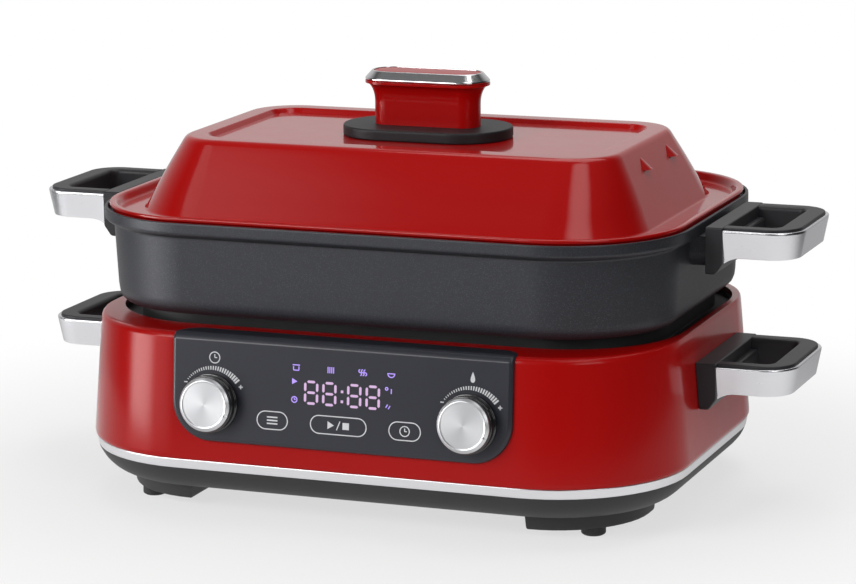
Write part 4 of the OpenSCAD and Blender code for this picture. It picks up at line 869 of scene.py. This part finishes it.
marks = {"sunk": 0.02, "thick": 0.06, "line": 0.55, "keyV": -6.8, "keyHalfH": 4.7,
         "keys": ((-37.1, 8.6), (0.1, 15.6), (37.0, 8.7)), "list": (1.7, 6.0, 0.75), "clock": 2.6,
         "startStop": (2.4, 6.0), "startHalf": 2.1, "stopHalf": 1.8, "slash": (5.0, radians(68)),
         "dialSign": (1.6, 24.0, 2.9), "minus": (-14.8, 10.0, 1.9), "plus": (16.7, 9.4, 2.3), "signLine": 0.6}
ticks = {"Count": 24, "Radius": 17.4 * mm, "First": radians(139), "Sweep": radians(-99),
         "Short": 0.9 * mm, "Long": 3.2 * mm, "Thin": 0.4 * mm, "Wide": 1.0 * mm,
         "Height": marks["thick"] * mm}
display = {"digitX": (-15.4, -5.2, 8.7, 19.0), "low": 3.8, "wide": 6.7, "high": 11.3, "segment": 1.35,
           "slit": 0.18, "colonX": 1.9, "colonV": (6.0, 11.2), "dotHalf": 0.7,
           "modeX": (-24.0, -4.6, 13.2, 29.0), "modeV": 22.0, "modeSize": 1.9,
           "hint": ((-26.2, 13.2), (-23.2, 14.8), (-26.2, 16.4)), "clock": (-24.8, 5.2, 1.5),
           "degree": (26.6, 14.6, 0.7), "unit": (29.2, 13.4, 2.6), "strokes": ((26.8, 5.6), (28.2, 5.0)),
           "stroke": (2.0, radians(60))}


def layer(name, points):
    low = wall["proud"] - marks["sunk"]
    return prism(name, points, low, low + marks["thick"])


def joined(name, parts, finish):
    mesh = bpy.data.meshes.new(name)
    with editing(mesh) as work:
        for part in parts:
            work.from_mesh(part.data)
            bpy.data.objects.remove(part)
    mesh.transform(onWall())
    return dress(outward(newObject(name, mesh)), finish, "base", [])


def bar(x, v, length, turn=0.0, width=None):
    half, wide = length / 2, (width or marks["line"]) / 2
    c, s = cos(turn), sin(turn)
    corners = rectangle(-half, -wide, half, wide)
    return layer("bar", [(x + c * a - s * b, v + s * a + c * b) for a, b in corners])


# A ring or part of one, its ends as angles in degrees
def hoop(x, v, radius, first=0.0, last=360.0):
    wide = marks["line"] / 2
    steps = max(6, int(abs(last - first) / 12))
    near, far = [arc(x, v, r, first, last, steps) for r in (radius - wide, radius + wide)]
    return [layer("arc", [near[i], far[i], far[i + 1], near[i + 1]]) for i in range(steps)]


def pill(x, v, halfW, halfH):
    reach = halfW - halfH
    ends = hoop(x + reach, v, halfH, -90, 90) + hoop(x - reach, v, halfH, 90, 270)
    return ends + [bar(x, v + halfH, 2 * reach), bar(x, v - halfH, 2 * reach)]


flame = []
for t in np.linspace(0, 2 * pi, 33)[:-1]:
    flame.append((0.62 * cos(t) * (1 - 0.42 * (1 + sin(t))), 0.95 * sin(t)))
# Arcs (across, up, radius, ends), bars (across, up, length, turn) and outlines, for a sign of size 1
signs = {
    "clock": ([(0, 0, 1, 0, 360)], [(0, 0.3, 0.6, 90), (0.22, 0, 0.5, 0)], []),
    "flame": ([], [], [flame]),
    "pot": ([], [(0, -0.7, 1.6, 0), (-0.8, -0.15, 1.1, 90), (0.8, -0.15, 1.1, 90), (0, 0.75, 2.2, 0)], []),
    "grill": ([], [(k * 0.55, 0, 1.7, 90) for k in (-1.5, -0.5, 0.5, 1.5)], []),
    "steam": ([(k * 0.75, s * 0.4, 0.4, s * 90, s * 90 + 180) for k in (-1, 0, 1) for s in (1, -1)], [], []),
    "bowl": ([(0, 0.3, 1, 180, 360)], [(0, 0.3, 2.3, 0)], []),
}


def drawn(kind, x, v, size):
    arcs, bars, outlines = signs[kind]
    parts = []
    for dx, dv, radius, first, last in arcs:
        parts += hoop(x + dx * size, v + dv * size, radius * size, first, last)
    for dx, dv, length, turn in bars:
        parts.append(bar(x + dx * size, v + dv * size, length * size, radians(turn)))
    for outline in outlines:
        parts.append(layer(kind, [(x + dx * size, v + dv * size) for dx, dv in outline]))
    return parts


def makePrint():
    parts = []
    v = marks["keyV"]
    for x, halfW in marks["keys"]:
        parts += pill(x, v, halfW, marks["keyHalfH"])
    left, middle, right = [x for x, _ in marks["keys"]]
    pitch, length, width = marks["list"]
    parts += [bar(left, v + k * pitch, length, width=width) for k in (-1, 0, 1)]
    near, far = marks["startStop"]
    high = marks["startHalf"]
    parts.append(layer("start", [(middle - far, v - high), (middle - near, v), (middle - far, v + high)]))
    parts.append(bar(middle, v, *marks["slash"]))
    high = marks["stopHalf"]
    parts.append(layer("stop", rectangle(middle + near, v - high, middle + far, v + high)))
    parts += drawn("clock", right, v, marks["clock"])
    width = marks["signLine"]
    for dial, kind in zip(dials.values(), ("clock", "flame")):
        x, v, size = marks["dialSign"]
        parts += drawn(kind, dial + x, v, size)
        x, v, size = marks["minus"]
        parts.append(bar(dial + x, v, size, width=width))
        x, v, size = marks["plus"]
        parts += [bar(dial + x, v, size, turn, width) for turn in (0, pi / 2)]
    joined("panel_print", parts, "printWhite")
    for word, x in dials.items():
        mesh = bpy.data.meshes.new("ticks")
        row = trees["arc"].run("dial_ticks_" + word, mesh, **ticks)
        row.data.transform(onWall() @ Matrix.Translation(Vector((x, 0, wall["proud"])) * mm))
        dress(row, "printWhite", "base", [])


def makeDisplay():
    w, h, thick = display["wide"], display["high"], display["segment"]
    tip = thick / 2
    half = (h / 2 - thick * 0.45) / 2 - display["slit"]
    flat = half - tip
    shape = layer("segment", [(-half, 0), (-flat, -tip), (flat, -tip), (half, 0), (flat, tip), (-flat, tip)])
    v = display["low"]
    upright = (0, 0, pi / 2)
    places = []
    for x in display["digitX"]:
        places += [((x, v + k * h / 2, 0), (0, 0, 0)) for k in (0, 1, 2)]
        places += [((x + sx * w / 2, v + k * h / 4, 0), upright) for sx in (-1, 1) for k in (1, 3)]
    digits = atPoints("display_digits", shape, places)
    digits.data.transform(onWall())
    dress(digits, "digitLit", "base", [])
    x, half = display["colonX"], display["dotHalf"]
    dots = [layer("dot", rectangle(x - half, v - half, x + half, v + half)) for v in display["colonV"]]
    joined("display_colon", dots, "digitLit")
    parts = []
    for x, kind in zip(display["modeX"], ("pot", "grill", "steam", "bowl")):
        parts += drawn(kind, x, display["modeV"], display["modeSize"])
    parts.append(layer("hint", display["hint"]))
    parts += drawn("clock", *display["clock"]) + hoop(*display["degree"])
    parts.append(bar(*display["unit"], pi / 2))
    parts += [bar(*spot, *display["stroke"]) for spot in display["strokes"]]
    joined("display_modes", parts, "modeLit")


makePrint()
makeDisplay()
print("panel made")

# Knobs

knob = {"low": 3.3, "high": 10.2, "radius": 15.6, "bore": 3.1, "capR": 14.26, "capTop": 13.0, "capIn": 0.2,
        "bevel": 1.5, "sunk": 0.25, "notch": -24.0, "notchHalf": 0.55, "notchIn": 2.2, "notchDeep": 1.2}


def makeKnob(word, x):
    low, high, radius, bore = knob["low"], knob["high"], knob["radius"], knob["bore"]
    skirt = turned(f"knob_{word}_skirt", [
        (bore, low, 0), (radius, low, 0.4), (radius, low + 1.9, 0.4), (radius - 0.9, low + 2.2, 0.3),
        (radius - 0.9, low + 2.7, 0.3), (radius - 0.5, low + 3.0, 0.4), (radius - 0.5, high, 0.8),
        (bore, high, 0)], 96, (x, 0, 0), onWall())
    dress(skirt, "glossBlack", "knob_" + word, ["knob_" + word], 30)
    top, reach, core = knob["capTop"], knob["capR"], knob["capIn"]
    rim, dish = reach - knob["bevel"], top - knob["sunk"]
    cap = turned(f"knob_{word}_face", [
        (core, high, 0), (reach - 0.3, high, 0.2), (reach, high + 0.4, 0.3), (reach, top - 1.1, 0.3),
        (rim, top, 0.25), (rim - 0.5, top, 0.2), (rim - 0.9, dish, 0.2), (core, dish, 0)], 96)
    half, start, floor = knob["notchHalf"], reach - knob["notchIn"], top - knob["notchDeep"]
    cutter = block("notch", (start, -half, floor), (reach + 2, half, top + 1))
    cutter.data.transform(Matrix.Rotation(radians(knob["notch"]), 4, "Z"))
    combine(cap, cutter, "DIFFERENCE")
    cap.data.transform(onWall() @ Matrix.Translation((x * mm, 0, 0)))
    centre = onWall() @ Vector((x * mm, 0, 0))
    finishes["spun_" + word] = spunFace("spunFace_" + word, centre)
    dress(cap, "spun_" + word, "knob_" + word, [f"knob_{word}_cap"], 25)


for word, x in dials.items():
    makeKnob(word, x)
print("knobs made")

# Screws that show: a domed head with a six-sided socket on a plain shank

screw = {"radius": 2.0, "headHigh": 2.2, "socketZ": (1.0, 3.0), "lidX": 18.0, "handleY": 20.0}


def screwShape(radius, length):
    wide, high = 2 * radius, screw["headHigh"]
    head = turned("screw", [
        (0.2, -length, 0), (radius, -length, 0.3), (radius, 0, 0), (wide, 0, 0.2), (wide, 1.3, 0.5),
        (1.5 * radius, high, 0.5), (0.2, high, 0)], 32)
    return combine(head, prism("socket", circle(radius, 6), *screw["socketZ"]), "DIFFERENCE")


def makeScrews():
    down = (pi, 0, 0)
    x, y = tray["screw"]
    seat = handleSets["pot"]["start"] + 1
    z = handleSets["pot"]["top"] - handle["trimHigh"] / 2
    under = [((sx * x, bodyY + sy * y, tray["headZ"]), down) for sx, sy in fourCorners]
    inLid = [((sx * screw["lidX"], cookY, lid["under"]), down) for sx in (-1, 1)]
    y, quarter = screw["handleY"], pi / 2
    ends = [((sx * seat, cookY + sy * y, z), (0, sx * quarter, 0)) for sx, sy in fourCorners]
    for name, places, length, body, node in (
            ("tray", under, 29.0, "base", "tray_screws"), ("lid", inLid, 13.0, "lid", "lid_knob_screws"),
            ("pot_handle", ends, 15.0, "pot", "pot_handle_screws")):
        piece = atPoints(name + "_screw_set", screwShape(screw["radius"], length), places)
        dress(piece, "zinc", body, [node])


makeScrews()

# Inner pieces: some are copies of the solids with softened edges, the rest the solids themselves

# Finish, body, slot and how far the edges are rounded
inner = {
    "well_ring": ("trayBlack", "base", "black_plastic", 0.35),
    "reflector_tray": ("brightSheet", "base", "reflector", 0.3),
    "heating_plate": ("castPlate", "base", "plate_cast", 0.5),
    "sensor_plunger": ("brightSheet", "sensor", "reflector", 0.4),
    "power_inlet": ("handleBlack", "base", "black_plastic", 0.4),
    "inlet_pins": ("brass", "base", "contacts", 0.25),
}
plain = {
    "zinc": ("body_handle_screws", "panel_screws", "board_screws", "encoder_left", "encoder_right",
             "heating_element", "plate_posts", "post_screws", "thermal_fuse", "sensor_guide", "sensor_clip",
             "power_board_screws", "knob_left_shaft", "knob_right_shaft"),
    "boardGreen": ("control_board", "power_board"),
    "glossBlack": ("display_module", "cutout_thermostat"),
    "brass": ("touch_springs",),
    "caseBlue": ("relay", "filter_capacitor"),
    "windings": ("transformer",),
    "sleeve": ("mains_leads", "heater_leads", "control_ribbon"),
}


def makeInner():
    for node, (finish, body, slot, width) in inner.items():
        piece = newObject(node + "_skin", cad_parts[node].data.copy())
        with editing(piece.data) as work:
            bmesh.ops.remove_doubles(work, verts=work.verts, dist=2e-6)
            flat = radians(0.5)
            bmesh.ops.dissolve_limit(work, angle_limit=flat, verts=work.verts, edges=work.edges)
        dress(rounded(piece, width, 45, 2), finish, body, [node])
    for finish, nodes in plain.items():
        for node in nodes:
            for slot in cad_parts[node].material_slots:
                slot.material = finishes[finish]


makeInner()

# The sensor's spring: a copy of the solid, with a mesh of its own
spring = {"node": "sensor_spring", "travel": 2.5}


def makeSpring():
    node = spring["node"]
    piece = newObject(node + "_skin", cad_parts[node].data.copy())
    dress(piece, "zinc", "base", [node])
    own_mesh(piece)


makeSpring()
print("inner pieces dressed")

# Stage, light and camera

# The floor: its size, where its real shadow fades out, its tones, and the span and level of a painted shadow
# behind the part
stage = {"radius": 0.55, "near": 0.2, "far": 0.46, "shadow": 0.66, "tones": ((0.83,) * 3, (0.85,) * 3),
         "behindY": (-0.1, 0.3), "behind": 0.4}


def rayKinds(paint):
    ray = paint.tree.nodes.new("ShaderNodeLightPath")
    return [Value(paint, ray.outputs[f"Is {kind} Ray"]) for kind in ("Camera", "Glossy", "Transmission")]


def fade(paint, value, start, end, low, high):
    ends = {0: value, 1: start, 2: end, 3: low, 4: high}
    return paint.node("ShaderNodeMapRange", {"interpolation_type": "SMOOTHSTEP"}, ends)


# A floor that the camera sees as white, save for a shadow near the part; the glow that reflections see dims
# behind the part, a painted shadow
def makeFloor():
    mesh = bpy.data.meshes.new("floor")
    ring = [(x, y, 0) for x, y in circle(stage["radius"], 96)]
    mesh.from_pydata(ring, [], [tuple(range(len(ring)))])
    floor = newObject("floor", mesh)
    paint = Paint("paleFloor", Roughness=0.9)
    paint.set("Base Color", paint.mix(paint.noise(3.0), *stage["tones"]))
    camera, glossy, clear = rayKinds(paint)
    shown = (camera + glossy + clear).math("MINIMUM", 1.0)
    depth = paint.node("ShaderNodeSeparateXYZ", {}, {0: paint.place()}, 1)
    # Painted shadow: the floor's glow in reflections falls from full at the front to a lower level behind the
    # part
    behind = fade(paint, depth, *stage["behindY"], 1.0, stage["behind"])
    level = camera + (1 - camera) * behind
    glow = paint.node("ShaderNodeEmission", {}, {"Color": (1, 1, 1, 1), "Strength": level})
    spot = paint.node("ShaderNodeVectorMath", {"operation": "LENGTH"}, {0: paint.place()}, "Value")
    share = shown * fade(paint, spot, stage["near"], stage["far"], stage["shadow"], 1.0)
    matte = Value(paint, paint.shader.outputs[0])
    both = paint.node("ShaderNodeMixShader", {}, {0: share, 1: matte, 2: glow})
    paint.feed(paint.tree.nodes["Material Output"].inputs[0], both)
    mesh.materials.append(paint.material)


# Walls that only reflections see: the way to each, the cosines between which it fades in, its strength
softWalls = [
    ((-0.45, 0.89, 0.1), 0.25, 0.97, 0.64),
    ((0, 0, 1), 0.5, 0.95, 0.2),
    ((-0.848, -0.53, 0.0), 0.955, 0.992, 12.0),
    ((-0.707, -0.707, 0.0), 0.915, 0.99, 2.6),
    ((-0.48, -0.77, 0.42), 0.62, 0.98, 0.35),
    ((0.33, -0.33, 0.884), 0.962, 0.995, 3.4),
    ((-0.55, -0.38, 0.744), 0.972, 0.992, 1.6),
]
studio = {"dim": 0.02, "ambient": 0.28}


def makeWorld():
    world = bpy.data.worlds.new("studio")
    bpy.context.scene.world = world
    world.use_nodes = True
    paint = Nodes(world.node_tree)
    camera, glossy, clear = rayKinds(paint)
    way = paint.node("ShaderNodeTexCoord", {}, {}, "Generated")
    side = studio["dim"]
    for aim, start, end, level in softWalls:
        facing = paint.node("ShaderNodeVectorMath", {"operation": "DOT_PRODUCT"}, {0: way, 1: aim}, "Value")
        side = fade(paint, facing, start, end, studio["dim"], level).math("MAXIMUM", side)
    strength = camera + (1 - camera) * ((glossy + clear) * side + (1 - glossy) * studio["ambient"])
    ground = paint.tree.nodes["Background"]
    ground.inputs[0].default_value = (1, 1, 1, 1)
    paint.feed(ground.inputs[1], strength)


# Place, size and power
lamps = {
    "key": ((-1.2, -2.0, 1.2), (1.2, 1.0), 27.0),
    "overhead": ((0.1, 0.5, 1.9), (1.5, 1.2), 14.0),
    "fill": ((1.6, -1.5, 0.9), (0.9, 0.9), 7.0),
}


def makeLamps():
    target = Vector((0, 0, 0.1))
    for name, (spot, size, power) in lamps.items():
        data = bpy.data.lights.new(name, "AREA")
        data.shape = "RECTANGLE"
        data.size, data.size_y = size
        data.energy = power
        made = newObject(name, data)
        made.location = spot
        made.rotation_euler = (target - Vector(spot)).to_track_quat("-Z", "Y").to_euler()


view = {"azimuth": 20.96, "elevation": 11.75, "roll": -0.55, "spot": (0.6604, -1.7126, 0.4862),
        "lens": 144.1, "sensor": 36.0}


def makeCamera():
    data = bpy.data.cameras.new("camera")
    data.lens = view["lens"]
    data.sensor_width = view["sensor"]
    data.sensor_fit = "HORIZONTAL"
    made = newObject("camera", data)
    aim = Matrix.Translation(view["spot"])
    for angle, axis in ((view["azimuth"], "Z"), (90 - view["elevation"], "X"), (view["roll"], "Z")):
        aim = aim @ Matrix.Rotation(radians(angle), 4, axis)
    made.matrix_world = aim
    bpy.context.scene.camera = made


makeFloor()
makeWorld()
makeLamps()
makeCamera()
bpy.context.scene.view_settings.view_transform = "Standard"
print("stage set")
